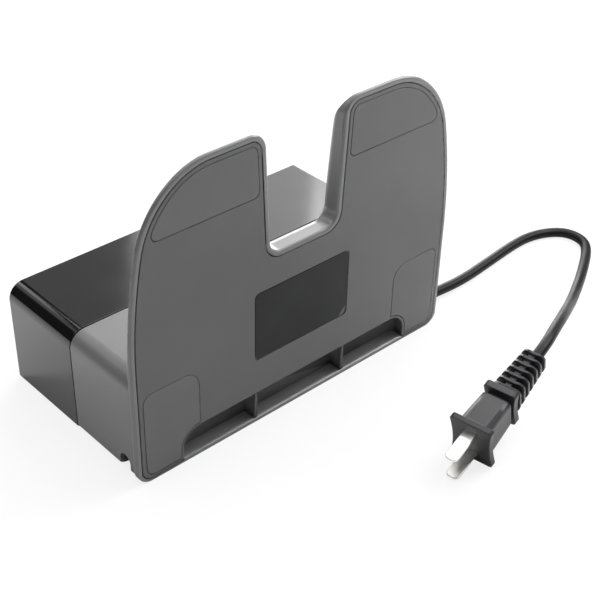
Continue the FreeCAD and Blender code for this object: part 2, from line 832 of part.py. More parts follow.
def make_tower_cover():
    """Black cover over the tower, with its lip, screw bosses and the beacon board's posts."""
    outer = tower_block(0.0, seam_high, tower_height, 0.0)
    outer = outer.makeFillet(tower_back_corner, upright_edges(outer, lambda p: p.z < 0.1))
    outer = outer.makeFillet(tower_top_corner, pick(outer, lambda p, e: p.y > tower_height - 0.01))
    outer = outer.makeFillet(seam_edge, pick(outer, lambda p, e: p.y < seam_high + 0.01))
    cover = outer.cut(tower_block(wall, seam_high - 1.0, tower_height - wall, wall))
    lip_outer = wall + lip_clearance
    lip_inner = lip_outer + lip_thickness
    lip = tower_block(lip_outer, seam_low - lip_depth, seam_high, lip_outer)
    collar = tower_block(wall - 0.1, seam_high, seam_high + lip_depth, wall - 0.1)
    lip = lip.fuse(collar)
    lip = lip.cut(tower_block(lip_inner, seam_low - lip_depth - 1.0, seam_high + lip_depth + 1.0, lip_inner))
    cover = cover.fuse(lip)
    roof = tower_height - wall
    boss_foot = lug_height + screw_clearance
    for z in tower_screw_z:
        boss = rod_y(boss_radius, tower_screw_x, z, boss_foot, roof + 1.0)
        web = box(
            Vector(tower_screw_x, seam_high + lip_depth, z - boss_web / 2.0),
            Vector(tower_width / 2.0 - wall + 1.0, roof + 1.0, z + boss_web / 2.0),
        )
        hole = pilot(
            Vector(tower_screw_x, boss_foot - 1.0, z),
            Vector(tower_screw_x, lug_height - lug_thickness + tower_screw_length + pilot_spare, z),
        )
        for piece in both_sides(boss.fuse(web).cut(hole)):
            cover = cover.fuse(piece)
    front = tower_depth - wall
    for x in (-beacon_post_x, beacon_post_x):
        post = rod(post_radius, Vector(x, beacon_post_y, beacon_front), Vector(x, beacon_post_y, front + 1.0))
        end = beacon_front - board_thickness + board_screw_length + pilot_spare
        hole = pilot(Vector(x, beacon_post_y, beacon_front - 1.0), Vector(x, beacon_post_y, end))
        cover = cover.fuse(post.cut(hole))
    light = Vector(0, light_y, front - 1.0)
    hole = rod(light_radius + light_clearance, light, light + Vector(0, 0, wall + 2.0))
    return cover.cut(hole).removeSplitter()


def make_contact():
    """A charging contact on the right: a pressed metal cap with a flange that keeps it in."""
    top = ramp_height + contact_proud
    low = ceiling - contact_flange_gap - contact_sheet
    half_x = contact_length / 2.0
    half_z = contact_width / 2.0
    cap = box(
        Vector(contact_x - half_x, low, contact_z - half_z),
        Vector(contact_x + half_x, top, contact_z + half_z),
    )
    cap = cap.makeFillet(contact_corner, upright_edges(cap))
    cap = cap.makeFillet(contact_round, pick(cap, lambda p, e: p.y > top - 0.01))
    flange = box(
        Vector(contact_x - half_x - contact_flange, low, contact_z - half_z - contact_flange),
        Vector(contact_x + half_x + contact_flange, low + contact_sheet, contact_z + half_z + contact_flange),
    )
    flange = flange.makeFillet(contact_corner + contact_flange, upright_edges(flange))
    hollow = box(
        Vector(contact_x - half_x + contact_sheet, low - 1.0, contact_z - half_z + contact_sheet),
        Vector(contact_x + half_x - contact_sheet, top - contact_sheet, contact_z + half_z - contact_sheet),
    )
    hollow = hollow.makeFillet(contact_corner - contact_sheet, upright_edges(hollow))
    return cap.fuse(flange).cut(hollow).removeSplitter()


def make_contact_guide():
    """The tray on the right that a contact slides in, staked to the ramp by its two ears."""
    inner_x = contact_length / 2.0 + contact_flange + contact_clearance
    inner_z = contact_width / 2.0 + contact_flange + contact_clearance
    corner = contact_corner + contact_flange
    tray = box(
        Vector(contact_x - inner_x - guide_wall, guide_low, contact_z - inner_z - guide_wall),
        Vector(contact_x + inner_x + guide_wall, ceiling - guide_gap, contact_z + inner_z + guide_wall),
    )
    tray = tray.makeFillet(corner + guide_wall, upright_edges(tray))
    tray = tray.fuse(guide_ears(guide_ear_radius, guide_ear_low, ceiling - guide_gap))
    hollow = box(
        Vector(contact_x - inner_x, guide_low + guide_floor, contact_z - inner_z),
        Vector(contact_x + inner_x, ramp_height, contact_z + inner_z),
    )
    hollow = hollow.makeFillet(corner, upright_edges(hollow))
    tray = tray.cut(hollow)
    for side in (-1, 1):
        x = contact_x + side * guide_ear_x
        tray = tray.cut(rod_y(peg_radius + peg_clearance, x, contact_z, guide_low, ramp_height))
    start, end = lead_window()
    return tray.cut(rod(lead_radius + lead_clearance, start, end)).removeSplitter()


def lead_window():
    """The line of the lead's hole through the wall of the right contact's guide."""
    outer_z = contact_z - contact_width / 2.0 - contact_flange - contact_clearance - guide_wall
    y = guide_low + guide_floor + spring_strip + lead_radius
    x = contact_x - spring_span / 2.0 + spring_foot / 2.0
    return Vector(x, y, outer_z - 1.0), Vector(x, y, outer_z + guide_wall + 1.0)


def half_ellipse(centre, half_span, rise):
    """A bow over a span, half of an ellipse."""
    ring = Part.Arc(Vector(1, 0, 0), Vector(0, 1, 0), Vector(-1, 0, 0)).toShape()
    stretch = FreeCAD.Matrix()
    stretch.scale(Vector(half_span, rise, 1.0))
    stretch.move(centre)
    return ring.transformGeometry(stretch)


def make_contact_spring():
    """The bowed leaf spring under the right contact, with its feet and solder tab."""
    floor = guide_low + guide_floor
    crown = ramp_height + contact_proud - contact_sheet
    half = spring_span / 2.0
    x = contact_x
    z = contact_z - spring_width / 2.0
    rise = crown - floor - spring_strip
    bow = half - spring_foot
    top = half_ellipse(Vector(x, floor + spring_strip, z), bow, rise)
    under = half_ellipse(Vector(x, floor, z), bow - spring_strip, rise)
    right = [
        Vector(x + half - spring_foot, floor + spring_strip, z),
        Vector(x + half, floor + spring_strip, z),
        Vector(x + half, floor, z),
        Vector(x + half - spring_foot - spring_strip, floor, z),
    ]
    left = [
        Vector(x - half + spring_foot + spring_strip, floor, z),
        Vector(x - half, floor, z),
        Vector(x - half, floor + spring_strip, z),
        Vector(x - half + spring_foot, floor + spring_strip, z),
    ]
    edges = [top] + Part.makePolygon(right).Edges + [under] + Part.makePolygon(left).Edges
    leaf = Part.Face(Part.Wire(Part.sortEdges(edges)[0])).extrude(Vector(0, 0, spring_width))
    tab_end = lead_window()[1].z
    tab = box(Vector(x - half, floor, tab_end), Vector(x - half + spring_foot, floor + spring_strip, z))
    return leaf.fuse(tab).removeSplitter()


def make_screw(seat, direction, length):
    """A pan-head screw: its seat is where the head's underside lies, and its shank runs along a
    direction.
    """
    head = screw_head_height
    profile = [
        Vector(0, -head, 0),
        Vector(screw_head_radius * 0.62, -head, 0),
        Vector(screw_head_radius, -head * 0.55, 0),
        Vector(screw_head_radius, 0, 0),
        Vector(screw_radius, 0, 0),
        Vector(screw_radius, length - screw_radius * 1.4, 0),
        Vector(screw_radius * 0.3, length, 0),
        Vector(0, length, 0),
    ]
    screw = polygon_face(profile).revolve(Vector(0, 0, 0), Vector(0, 1, 0), 360)
    reach = screw_head_radius * 0.6
    slot = screw_slot / 2.0
    for low, high in ((Vector(-reach, 0, -slot), Vector(reach, 0, slot)),
                      (Vector(-slot, 0, -reach), Vector(slot, 0, reach))):
        low.y = -head - 1.0
        high.y = -head + screw_slot_depth
        screw = screw.cut(box(low, high))
    turn = FreeCAD.Rotation(Vector(0, 1, 0), direction)
    screw.Placement = FreeCAD.Placement(seat, turn)
    return screw


def board_screw_places():
    """X and Z of the four screws of the mains board."""
    rows = (mains_board_low + mains_post_inset, mains_board_high - mains_post_inset)
    return [(x, z) for x in (-mains_post_x, mains_post_x) for z in rows]


def make_screw_groups():
    """Every screw, in a group for each piece that it holds."""
    up = Vector(0, 1, 0)
    cover = [make_screw(Vector(x, screw_seat, z), up, cover_screw_length)
             for x, z, top in cover_screw_places()]
    seat = lug_height - lug_thickness
    tower = [make_screw(Vector(x, seat, z), up, tower_screw_length)
             for x in (-tower_screw_x, tower_screw_x) for z in tower_screw_z]
    board = [make_screw(Vector(x, board_top, z), -up, board_screw_length) for x, z in board_screw_places()]
    back = beacon_front - board_thickness
    beacon = [make_screw(Vector(x, beacon_post_y, back), Vector(0, 0, 1), board_screw_length)
              for x in (-beacon_post_x, beacon_post_x)]
    top = clamp_foot_z + clamp_thickness
    clamp = [make_screw(Vector(clamp_x, exit_centre_y + side * clamp_half_span, top), Vector(0, 0, -1),
                        clamp_screw_length) for side in (-1, 1)]
    return {
        "cover_screws": cover,
        "tower_screws": tower,
        "board_screws": board,
        "beacon_screws": beacon,
        "clamp_screws": clamp,
    }


def make_mains_board():
    """Circuit board that turns the mains into the charging voltage."""
    board = box(
        Vector(-mains_board_half_width, board_bottom, mains_board_low),
        Vector(mains_board_half_width, board_top, mains_board_high),
    )
    board = board.makeFillet(board_corner, upright_edges(board))
    for x, z in board_screw_places():
        board = board.cut(rod_y(screw_radius + screw_slack, x, z, board_bottom - 1.0, board_top + 1.0))
    return board


def make_transformer_core():
    """Ferrite core of the transformer: two yokes, two side limbs and the limb in the winding."""
    low = Vector(transformer_x - core_length / 2.0, board_top, board_middle_z - core_width / 2.0)
    high = low + Vector(core_length, core_height, core_width)
    core = box(low, high)
    for side in (-1, 1):
        inner = transformer_x + side * core_centre / 2.0
        outer = transformer_x + side * (core_length / 2.0 - core_side)
        core = core.cut(box(
            Vector(min(inner, outer), board_top + core_yoke, low.z - 1.0),
            Vector(max(inner, outer), board_top + core_height - core_yoke, high.z + 1.0),
        ))
    return core


def make_transformer_winding():
    """Taped winding round the core's middle limb."""
    half_x = core_length / 2.0 - core_side - winding_gap
    half_z = core_width / 2.0 + winding_wall
    low = board_top + core_yoke + winding_gap
    high = board_top + core_height - core_yoke - winding_gap
    winding = box(
        Vector(transformer_x - half_x, low, board_middle_z - half_z),
        Vector(transformer_x + half_x, high, board_middle_z + half_z),
    )
    winding = winding.makeFillet(winding_corner, upright_edges(winding))
    limb_x = core_centre / 2.0 + winding_gap
    limb_z = core_width / 2.0 + winding_gap
    return winding.cut(box(
        Vector(transformer_x - limb_x, low - 1.0, board_middle_z - limb_z),
        Vector(transformer_x + limb_x, high + 1.0, board_middle_z + limb_z),
    ))


def make_smoothing_capacitor():
    """Round capacitor with the bead that is rolled into its can above the base."""
    centre = Vector(capacitor_x, board_top, board_middle_z)
    can = rod(capacitor_radius, centre, centre + Vector(0, capacitor_height, 0))
    can = can.makeFillet(capacitor_round, pick(can, lambda p, e: p.y > board_top + capacitor_height - 0.1))
    bead = Part.makeTorus(
        capacitor_radius + capacitor_bead / 2.0,
        capacitor_bead,
        centre + Vector(0, capacitor_bead_height, 0),
        Vector(0, 1, 0),
    )
    return can.cut(bead)


def make_filter_capacitor():
    """Box-shaped capacitor across the mains."""
    low = Vector(filter_x - filter_width / 2.0, board_top, board_middle_z - filter_length / 2.0)
    block = box(low, low + Vector(filter_width, filter_height, filter_length))
    return block.makeFillet(filter_round, pick(block, lambda p, e: p.y > board_top + 0.1))


def make_mains_fuse():
    """Glass fuse between its two end caps."""
    centre = Vector(fuse_x, fuse_centre_y, board_middle_z)
    half = Vector(0, 0, fuse_length / 2.0)
    cap = Vector(0, 0, fuse_cap_length)
    glass = rod(fuse_radius - fuse_cap_sheet, centre - half + cap / 2.0, centre + half - cap / 2.0)
    near_cap = rod(fuse_radius, centre - half, centre - half + cap)
    far_cap = rod(fuse_radius, centre + half - cap, centre + half)
    return glass.fuse([near_cap, far_cap])


def make_fuse_clips():
    """The two sprung clips that hold the fuse's caps above the board."""
    clips = []
    outer = fuse_radius + fuse_clip_gap + fuse_clip_sheet
    mouth = fuse_radius * fuse_clip_mouth
    for side in (-1, 1):
        z = board_middle_z + side * (fuse_length - fuse_cap_length) / 2.0
        start = Vector(fuse_x, fuse_centre_y, z - fuse_clip_width / 2.0)
        end = start + Vector(0, 0, fuse_clip_width)
        foot = box(
            Vector(fuse_x - fuse_clip_foot / 2.0, board_top, start.z),
            Vector(fuse_x + fuse_clip_foot / 2.0, fuse_centre_y, end.z),
        )
        clip = rod(outer, start, end).fuse(foot)
        clip = clip.cut(rod(fuse_radius + fuse_clip_gap, start, end))
        clips.append(clip.cut(box(
            Vector(fuse_x - mouth, fuse_centre_y, start.z - 1.0),
            Vector(fuse_x + mouth, fuse_centre_y + outer + 1.0, end.z + 1.0),
        )))
    return clips


def make_terminal(x, side, hole_radius, rows):
    """A terminal block with a wire hole in one side and a screw well on top for each row."""
    low = Vector(x - terminal_width / 2.0, board_top, board_middle_z - terminal_length / 2.0)
    high = low + Vector(terminal_width, terminal_height, terminal_length)
    block = box(low, high)
    block = block.makeFillet(terminal_round, pick(block, lambda p, e: p.y > high.y - 0.01))
    face = x + side * terminal_width / 2.0
    for z in rows:
        block = block.cut(rod(
            hole_radius,
            Vector(face + side, terminal_wire_y, z),
            Vector(face - side * terminal_hole_depth, terminal_wire_y, z),
        ))
        well_x = x - side * terminal_well_shift
        well_low = high.y - terminal_well_depth
        block = block.cut(rod_y(terminal_well_radius, well_x, z, well_low, high.y + 1.0))
    return block


def make_beacon_board():
    """Circuit board behind the tower's front that carries the homing beacon."""
    back = beacon_front - board_thickness
    board = box(
        Vector(-beacon_half_width, beacon_low, back),
        Vector(beacon_half_width, beacon_high, beacon_front),
    )
    board = board.makeFillet(board_corner, pick(board, lambda p, e: runs_along(e, Vector(0, 0, 1))))
    for x in (-beacon_post_x, beacon_post_x):
        hole = rod(
            screw_radius + screw_slack,
            Vector(x, beacon_post_y, back - 1.0),
            Vector(x, beacon_post_y, beacon_front + 1.0),
        )
        board = board.cut(hole)
    return board


def make_emitter(x, y, radius, flange_radius, height):
    """A round lamp with a flange at its foot and a domed head, standing on the beacon board."""
    profile = [
        Vector(x, y, beacon_front),
        Vector(x + flange_radius, y, beacon_front),
        Vector(x + flange_radius, y, beacon_front + emitter_flange_height),
        Vector(x + radius, y, beacon_front + emitter_flange_height),
        Vector(x + radius, y, beacon_front + height - radius),
    ]
    tip = Vector(x, y, beacon_front + height)
    slant = radius * math.sqrt(0.5)
    dome = Part.Arc(profile[-1], Vector(x + slant, y, tip.z - radius + slant), tip).toShape()
    edges = Part.makePolygon(profile).Edges + [dome, Part.makeLine(tip, profile[0])]
    section = Part.Face(Part.Wire(Part.sortEdges(edges)[0]))
    return section.revolve(Vector(x, y, 0), Vector(0, 0, 1), 360)


def make_beacon_baffle():
    """Black frame with a pocket for each emitter, which keeps their beams apart."""
    front = tower_depth - wall - baffle_gap
    frame = box(
        Vector(-baffle_half_width, baffle_low, beacon_front),
        Vector(baffle_half_width, baffle_high, front),
    )
    splits = [-baffle_half_width, -emitter_x / 2.0, emitter_x / 2.0, baffle_half_width]
    for left, right in zip(splits[:-1], splits[1:]):
        frame = frame.cut(box(
            Vector(left + baffle_wall, baffle_low + baffle_wall, beacon_front - 1.0),
            Vector(right - baffle_wall, baffle_high - baffle_wall, front + 1.0),
        ))
    return frame


def make_power_light():
    """Light guide in the tower's front, with the flange that holds it behind the wall."""
    flange_front = tower_depth - wall
    stem = rod(light_radius, Vector(0, light_y, light_back), Vector(0, light_y, tower_depth + light_proud))
    stem = stem.makeFillet(light_round, pick(stem, lambda p, e: p.z > tower_depth))
    flange = rod(
        light_flange_radius,
        Vector(0, light_y, flange_front - light_flange_height),
        Vector(0, light_y, flange_front),
    )
    return stem.fuse(flange).removeSplitter()


def make_cord_clamp():
    """Saddle over the cord, screwed to two bosses on the back wall."""
    centre = Vector(clamp_x, exit_centre_y, sheath_end.z)
    start = centre - Vector(clamp_length / 2.0, 0, 0)
    end = centre + Vector(clamp_length / 2.0, 0, 0)
    reach = clamp_half_span + clamp_end_margin
    foot = box(
        Vector(start.x, exit_centre_y - reach, clamp_foot_z),
        Vector(end.x, exit_centre_y + reach, clamp_foot_z + clamp_thickness),
    )
    foot = foot.makeFillet(clamp_end_margin * 0.9, pick(foot, lambda p, e: runs_along(e, Vector(0, 0, 1))))
    saddle = foot.fuse(rod(cord_radius + cord_clearance + clamp_thickness, start, end))
    step = Vector(1, 0, 0)
    saddle = saddle.cut(rod(cord_radius + cord_clearance, start - step, end + step))
    saddle = saddle.common(box(
        Vector(start.x, exit_centre_y - reach, clamp_foot_z),
        Vector(end.x, exit_centre_y + reach, tower_depth),
    ))
    for side in (-1, 1):
        seat = Vector(clamp_x, exit_centre_y + side * clamp_half_span, 0)
        saddle = saddle.cut(rod(screw_radius + screw_slack, seat, seat + Vector(0, 0, tower_depth)))
    return saddle.removeSplitter()


def tube(points, radius):
    """A round tube along straight runs joined by tangent arcs, and the radius of each arc."""
    edges = []
    radii = []
    last = points[0]
    length = 0.0
    for before, corner, after in zip(points[:-2], points[1:-1], points[2:]):
        run_in = corner - before
        run_out = after - corner
        half_turn = run_in.getAngle(run_out) / 2.0
        leg = 0.45 * min(run_in.Length, run_out.Length)
        bend = leg / math.tan(half_turn)
        start = corner - run_in * (leg / run_in.Length)
        end = corner + run_out * (leg / run_out.Length)
        chord = (start + end) / 2.0 - corner
        gap = bend * (1.0 / math.cos(half_turn) - 1.0)
        middle = corner + chord * (gap / chord.Length)
        edges.append(Part.LineSegment(last, start).toShape())
        edges.append(Part.Arc(start, middle, end).toShape())
        radii.append(bend)
        last = end
    edges.append(Part.LineSegment(last, points[-1]).toShape())
    path = Part.Wire(edges)
    ring = Part.Wire(Part.makeCircle(radius, points[0], points[1] - points[0]))
    solid = path.makePipeShell([ring], True, False)
    return solid, radii, path.Length


def steps(anchor, shifts):
    """The points that lie at the given steps from an anchor."""
    return [anchor + shift for shift in shifts]


def make_leads():
    """The wires inside the dock: mains, contacts and beacon."""
    mains = []
    board_end = Vector(mains_board_half_width, 0.0, tower_depth)
    board_start = Vector(-mains_board_half_width, 0.0, tower_depth)
    for side, row in zip((1, -1), terminal_rows):
        wire_y = exit_centre_y + side * mains_lead_step
        end = terminal_x + terminal_width / 2.0
        start = Vector(sheath_end.x, wire_y, sheath_end.z)
        hole = Vector(board_end.x, terminal_wire_y, row)
        points = [start] + steps(start, mains_lead_climb) + steps(hole, mains_lead_turn)
        points.append(Vector(end - lead_entry, terminal_wire_y, row))
        mains.append(tube(points, mains_lead_radius)[0])
    left_end = output_terminal_x - terminal_width / 2.0
    window = lead_window()[0]
    beacon_middle_z = beacon_front - board_thickness / 2.0
    tab_end = lead_window()[1].z + lead_entry
    climb_z = tower_depth + (window.z - tower_depth) * lead_climb_share
    left_hole = Vector(board_start.x, terminal_wire_y, terminal_rows[0])
    left = [Vector(left_end + lead_entry, left_hole.y, left_hole.z)]
    left += steps(left_hole, left_lead_turn) + steps(board_start, left_lead_drop)
    left += [
        Vector(-contact_x, lead_ramp_height, climb_z),
        Vector(-window.x, window.y, window.z - lead_straight),
        Vector(-window.x, window.y, tab_end),
    ]
    right_hole = Vector(board_start.x, terminal_wire_y, terminal_rows[1])
    right = [Vector(left_end + lead_entry, right_hole.y, right_hole.z)]
    right += steps(right_hole, right_lead_turn) + steps(board_start, right_lead_drop)
    right += steps(Vector(0, 0, tower_depth), right_lead_cross)
    right += [
        Vector(window.x - lead_entry, window.y, climb_z),
        Vector(window.x, window.y, window.z - lead_straight),
        Vector(window.x, window.y, tab_end),
    ]
    start = Vector(output_terminal_x, board_top + terminal_height, board_middle_z)
    rise = Vector(0, beacon_low - start.y, 0)
    heights = [start + rise * share for share in beacon_lead_rises]
    beacon = [
        start,
        heights[0],
        heights[1] + beacon_lead_shift,
        Vector(beacon_lead_x, heights[2].y, beacon_middle_z),
        Vector(beacon_lead_x, beacon_low, beacon_middle_z),
    ]
    return {
        "mains_leads": mains,
        "contact_leads": [tube(left, lead_radius)[0], tube(right, lead_radius)[0]],
        "beacon_lead": [tube(beacon, lead_radius)[0]],
    }


def plug_frame():
    """Where the plug lies: its origin is the middle of its flange's face, its X runs along the
    blades, its Y across them and its Z from the lower blade to the upper one.
    """
    yaw = FreeCAD.Rotation(Vector(0, 0, 1), plug_yaw)
    slant = FreeCAD.Rotation(Vector(0, 1, 0), -plug_slant)
    lift = flange_height / 2.0 * math.cos(math.radians(plug_slant))
    centre = side_wall + Vector(-plug_inboard, -plug_ahead, lift)
    return FreeCAD.Placement(centre, yaw.multiply(slant))


def rounded_rectangle(x, width, height, corner):
    """A wire across the plug's axis, with round corners."""
    half_y = width / 2.0
    half_z = height / 2.0
    edges = []
    steps = [(1, 1), (-1, 1), (-1, -1), (1, -1)]
    for index, (side, rise) in enumerate(steps):
        centre = Vector(x, side * (half_y - corner), rise * (half_z - corner))
        angle = math.pi / 4.0 + index * math.pi / 2.0
        points = [centre + Vector(0, corner * math.cos(angle + turn), corner * math.sin(angle + turn))
                  for turn in (-math.pi / 4.0, 0.0, math.pi / 4.0)]
        if edges:
            edges.append(Part.makeLine(edges[-1].Vertexes[-1].Point, points[0]))
        edges.append(Part.Arc(*points).toShape())
    edges.append(Part.makeLine(edges[-1].Vertexes[-1].Point, edges[0].Vertexes[0].Point))
    return Part.Wire(edges)


def taper(start, end, start_size, end_size, corner):
    """A block along the plug's axis that tapers between two rounded rectangles."""
    wires = [rounded_rectangle(start, *start_size, corner), rounded_rectangle(end, *end_size, corner)]
    return Part.makeLoft(wires, True, True)


def waisted_plate(front, thickness, width, height, waist, corner):
    """A plate across the plug's axis whose two long sides are drawn in."""
    half_y = width / 2.0
    half_z = height / 2.0
    back = front - thickness
    corners = [
        Vector(back, half_y, -half_z),
        Vector(back, half_y, half_z),
        Vector(back, -half_y, half_z),
        Vector(back, -half_y, -half_z),
    ]
    edges = [
        Part.Arc(corners[0], Vector(back, half_y - waist, 0), corners[1]).toShape(),
        Part.makeLine(corners[1], corners[2]),
        Part.Arc(corners[2], Vector(back, waist - half_y, 0), corners[3]).toShape(),
        Part.makeLine(corners[3], corners[0]),
    ]
    plate = Part.Face(Part.Wire(edges)).extrude(Vector(thickness, 0, 0))
    return plate.makeFillet(corner, pick(plate, lambda p, e: runs_along(e, Vector(1, 0, 0))))


def boot_size(share):
    """Width and height of the boot at a share of its length from the ear."""
    width = boot_front_width + (boot_back_width - boot_front_width) * share
    height = boot_front_height + (boot_back_height - boot_front_height) * share
    return width, height


def make_plug_moulding():
    """The plug's one-piece moulding: flange, grip, ear and the ribbed boot round the cord."""
    back = -flange_thickness
    moulding = waisted_plate(0.0, flange_thickness, flange_width, flange_height, flange_waist, flange_corner)
    front_edges = pick(moulding, lambda p, e: abs(p.x) < 0.01 or abs(p.x - back) < 0.01)
    moulding = moulding.makeFillet(flange_edge, front_edges)
    grip_end = back - grip_length
    grip = taper(back + 0.5, grip_end, (grip_front_width, grip_front_height),
                 (grip_back_width, grip_back_height), grip_round)
    end_edges = pick(grip, lambda p, e: abs(p.x - grip_end) < 0.01)
    moulding = moulding.fuse(grip.makeFillet(grip_end_round, end_edges))
    neck_end = grip_end - neck_length
    neck_size = (neck_width, neck_height)
    neck = taper(grip_end + 1.0, neck_end - 1.0, neck_size, neck_size, neck_round)
    ear = waisted_plate(neck_end, ear_thickness, ear_width, ear_height, ear_waist, ear_corner)
    ear_end = neck_end - ear_thickness
    ear_edges = pick(ear, lambda p, e: abs(p.x - neck_end) < 0.01 or abs(p.x - ear_end) < 0.01)
    moulding = moulding.fuse([neck, ear.makeFillet(flange_edge, ear_edges)])
    boot_end = ear_end - boot_length
    front_core = [size * boot_core_share for size in boot_size(0.0)]
    back_core = [size * boot_core_share for size in boot_size(1.0)]
    core = taper(ear_end + 1.0, boot_end, front_core, back_core, min(back_core) / 2.5)
    moulding = moulding.fuse(core)
    pitch = (boot_length - boot_first_gap - boot_rib_thickness) / (boot_ribs - 1)
    for index in range(boot_ribs):
        start = ear_end - boot_first_gap - index * pitch
        end = start - boot_rib_thickness
        start_size = boot_size((ear_end - start) / boot_length)
        end_size = boot_size((ear_end - end) / boot_length)
        moulding = moulding.fuse(taper(start, end, start_size, end_size, boot_corner))
    spine_front = (boot_spine_width, boot_size(0.0)[1])
    spine_back = (boot_spine_width, boot_size(1.0)[1])
    moulding = moulding.fuse(taper(ear_end + 1.0, boot_end, spine_front, spine_back, boot_spine_round))
    for side in (-1, 1):
        moulding = moulding.cut(blade_block(side, blade_root, 1.0))
    return moulding.removeSplitter()


def blade_block(side, root, reach):
    """The bar of a blade, from its root inside the moulding to a reach beyond the flange."""
    z = side * blade_spacing / 2.0
    return box(
        Vector(-root, -blade_width / 2.0, z - blade_thickness / 2.0),
        Vector(reach, blade_width / 2.0, z + blade_thickness / 2.0),
    )


def make_plug_blade(side):
    """One flat blade of the plug, with its tip rounded and chamfered."""
    blade = blade_block(side, blade_root, blade_length)
    tip_corners = pick(blade, lambda p, e: runs_along(e, Vector(0, 0, 1)) and p.x > blade_length - 0.01)
    blade = blade.makeFillet(blade_tip_round, tip_corners)
    lead_in = pick(blade, lambda p, e: p.x > blade_length - blade_tip_round - 0.01
                   and not runs_along(e, Vector(0, 0, 1)) and not runs_along(e, Vector(1, 0, 0)))
    return blade.makeChamfer(blade_chamfer, lead_in)


def cord_points():
    """The cord's route with its last two points, which run straight into the plug's boot."""
    frame = plug_frame()
    boot_end = -(flange_thickness + grip_length + neck_length + ear_thickness + boot_length)
    lead_in = frame.multVec(Vector(boot_end - boot_lead_length, 0, 0))
    return steps(side_wall, cord_route) + [lead_in, frame.multVec(Vector(boot_end, 0, 0))]


def make_cord_tube():
    """The mains cord, from the clamp to the plug."""
    solid, radii, length = tube(cord_points(), cord_radius)
    print("cord length", round(length, 1), "bend radii", [round(r, 1) for r in radii])
    section = math.pi * cord_radius ** 2
    print("cord volume", round(solid.Volume, 1), "section x length", round(section * length, 1))
    return solid


def on_plug(shape):
    """A piece of the plug, moved from the plug's own frame to where it lies."""
    shape.Placement = plug_frame().multiply(shape.Placement)
    return shape


def pair(name, shape):
    """The left and the right one of a piece that was made on the right."""
    return {name + "_left": [mirror_x(shape)], name + "_right": [shape]}


def make_nodes():
    """Every piece by its name, as a list of solids."""
    nodes = {
        "base_shell": [make_base_shell()],
        "tower_cover": [make_tower_cover()],
        "bottom_cover": [make_bottom_cover()],
        "rating_label": [make_label()],
    }
    nodes.update(pair("front_pad", make_pad(front_pad_block(0.0, -pad_proud, pad_recess))))
    nodes.update(pair("back_pad", make_pad(back_pad_block(0.0, -pad_proud, pad_recess))))
    nodes.update(pair("contact", make_contact()))
    nodes.update(pair("contact_guide", make_contact_guide()))
    nodes.update(pair("contact_spring", make_contact_spring()))
    nodes.update(make_screw_groups())
    nodes["mains_board"] = [make_mains_board()]
    nodes["transformer_core"] = [make_transformer_core()]
    nodes["transformer_winding"] = [make_transformer_winding()]
    nodes["smoothing_capacitor"] = [make_smoothing_capacitor()]
    nodes["filter_capacitor"] = [make_filter_capacitor()]
    nodes["mains_fuse"] = [make_mains_fuse()]
    nodes["fuse_clips"] = make_fuse_clips()
    mains_hole = mains_lead_radius + lead_clearance
    output_hole = lead_radius + lead_clearance
    nodes["mains_terminal"] = [make_terminal(terminal_x, 1, mains_hole, terminal_rows)]
    nodes["output_terminal"] = [make_terminal(output_terminal_x, -1, output_hole, terminal_rows)]
    nodes["beacon_board"] = [make_beacon_board()]
    nodes["beacon_emitters"] = [
        make_emitter(x, emitter_y, emitter_radius, emitter_flange_radius, emitter_height)
        for x in (-emitter_x, 0.0, emitter_x)
    ]
    nodes["beacon_baffle"] = [make_beacon_baffle()]
    nodes["indicator_lamp"] = [
        make_emitter(0.0, light_y, indicator_radius, indicator_radius + indicator_rim, indicator_height)
    ]
    nodes["power_light"] = [make_power_light()]
    nodes["cord_clamp"] = [make_cord_clamp()]
    nodes.update(make_leads())
    nodes["mains_cord"] = [make_cord_tube()]
    nodes["plug_moulding"] = [on_plug(make_plug_moulding())]
    nodes["plug_blade_upper"] = [on_plug(make_plug_blade(1))]
    nodes["plug_blade_lower"] = [on_plug(make_plug_blade(-1))]
    return nodes


if __name__ == "__main__":
    os.makedirs("parts", exist_ok=True)
    for name, solids in make_nodes().items():
        shape = solids[0] if len(solids) == 1 else Part.makeCompound(solids)
        shape = shape.translated(Vector(0, -middle_y, 0))
        print(name, shape.isValid(), round(shape.Volume, 1), len(shape.Solids), len(shape.Faces))
        shape.exportStep("parts/" + name + ".step")
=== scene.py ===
"""The charging dock of a robot vacuum, tipped onto its back, dressed and lit for its picture.

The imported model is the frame. Each sub-assembly is a class that takes its pieces from it, smooths
or rebuilds the ones that can be seen, and gives every piece its finish. Lengths in the fields of
the sub-assemblies and finishes are in millimetres, with Y measured from the dock's underside, as on
its drawing. Meshes and the studio are in metres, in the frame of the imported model.
"""
import json
import logging
import math
from dataclasses import dataclass
from enum import Enum
from functools import partial
from typing import Callable, Iterable

import bmesh
import bpy
from mathutils import Matrix, Vector
from mathutils.bvhtree import BVHTree

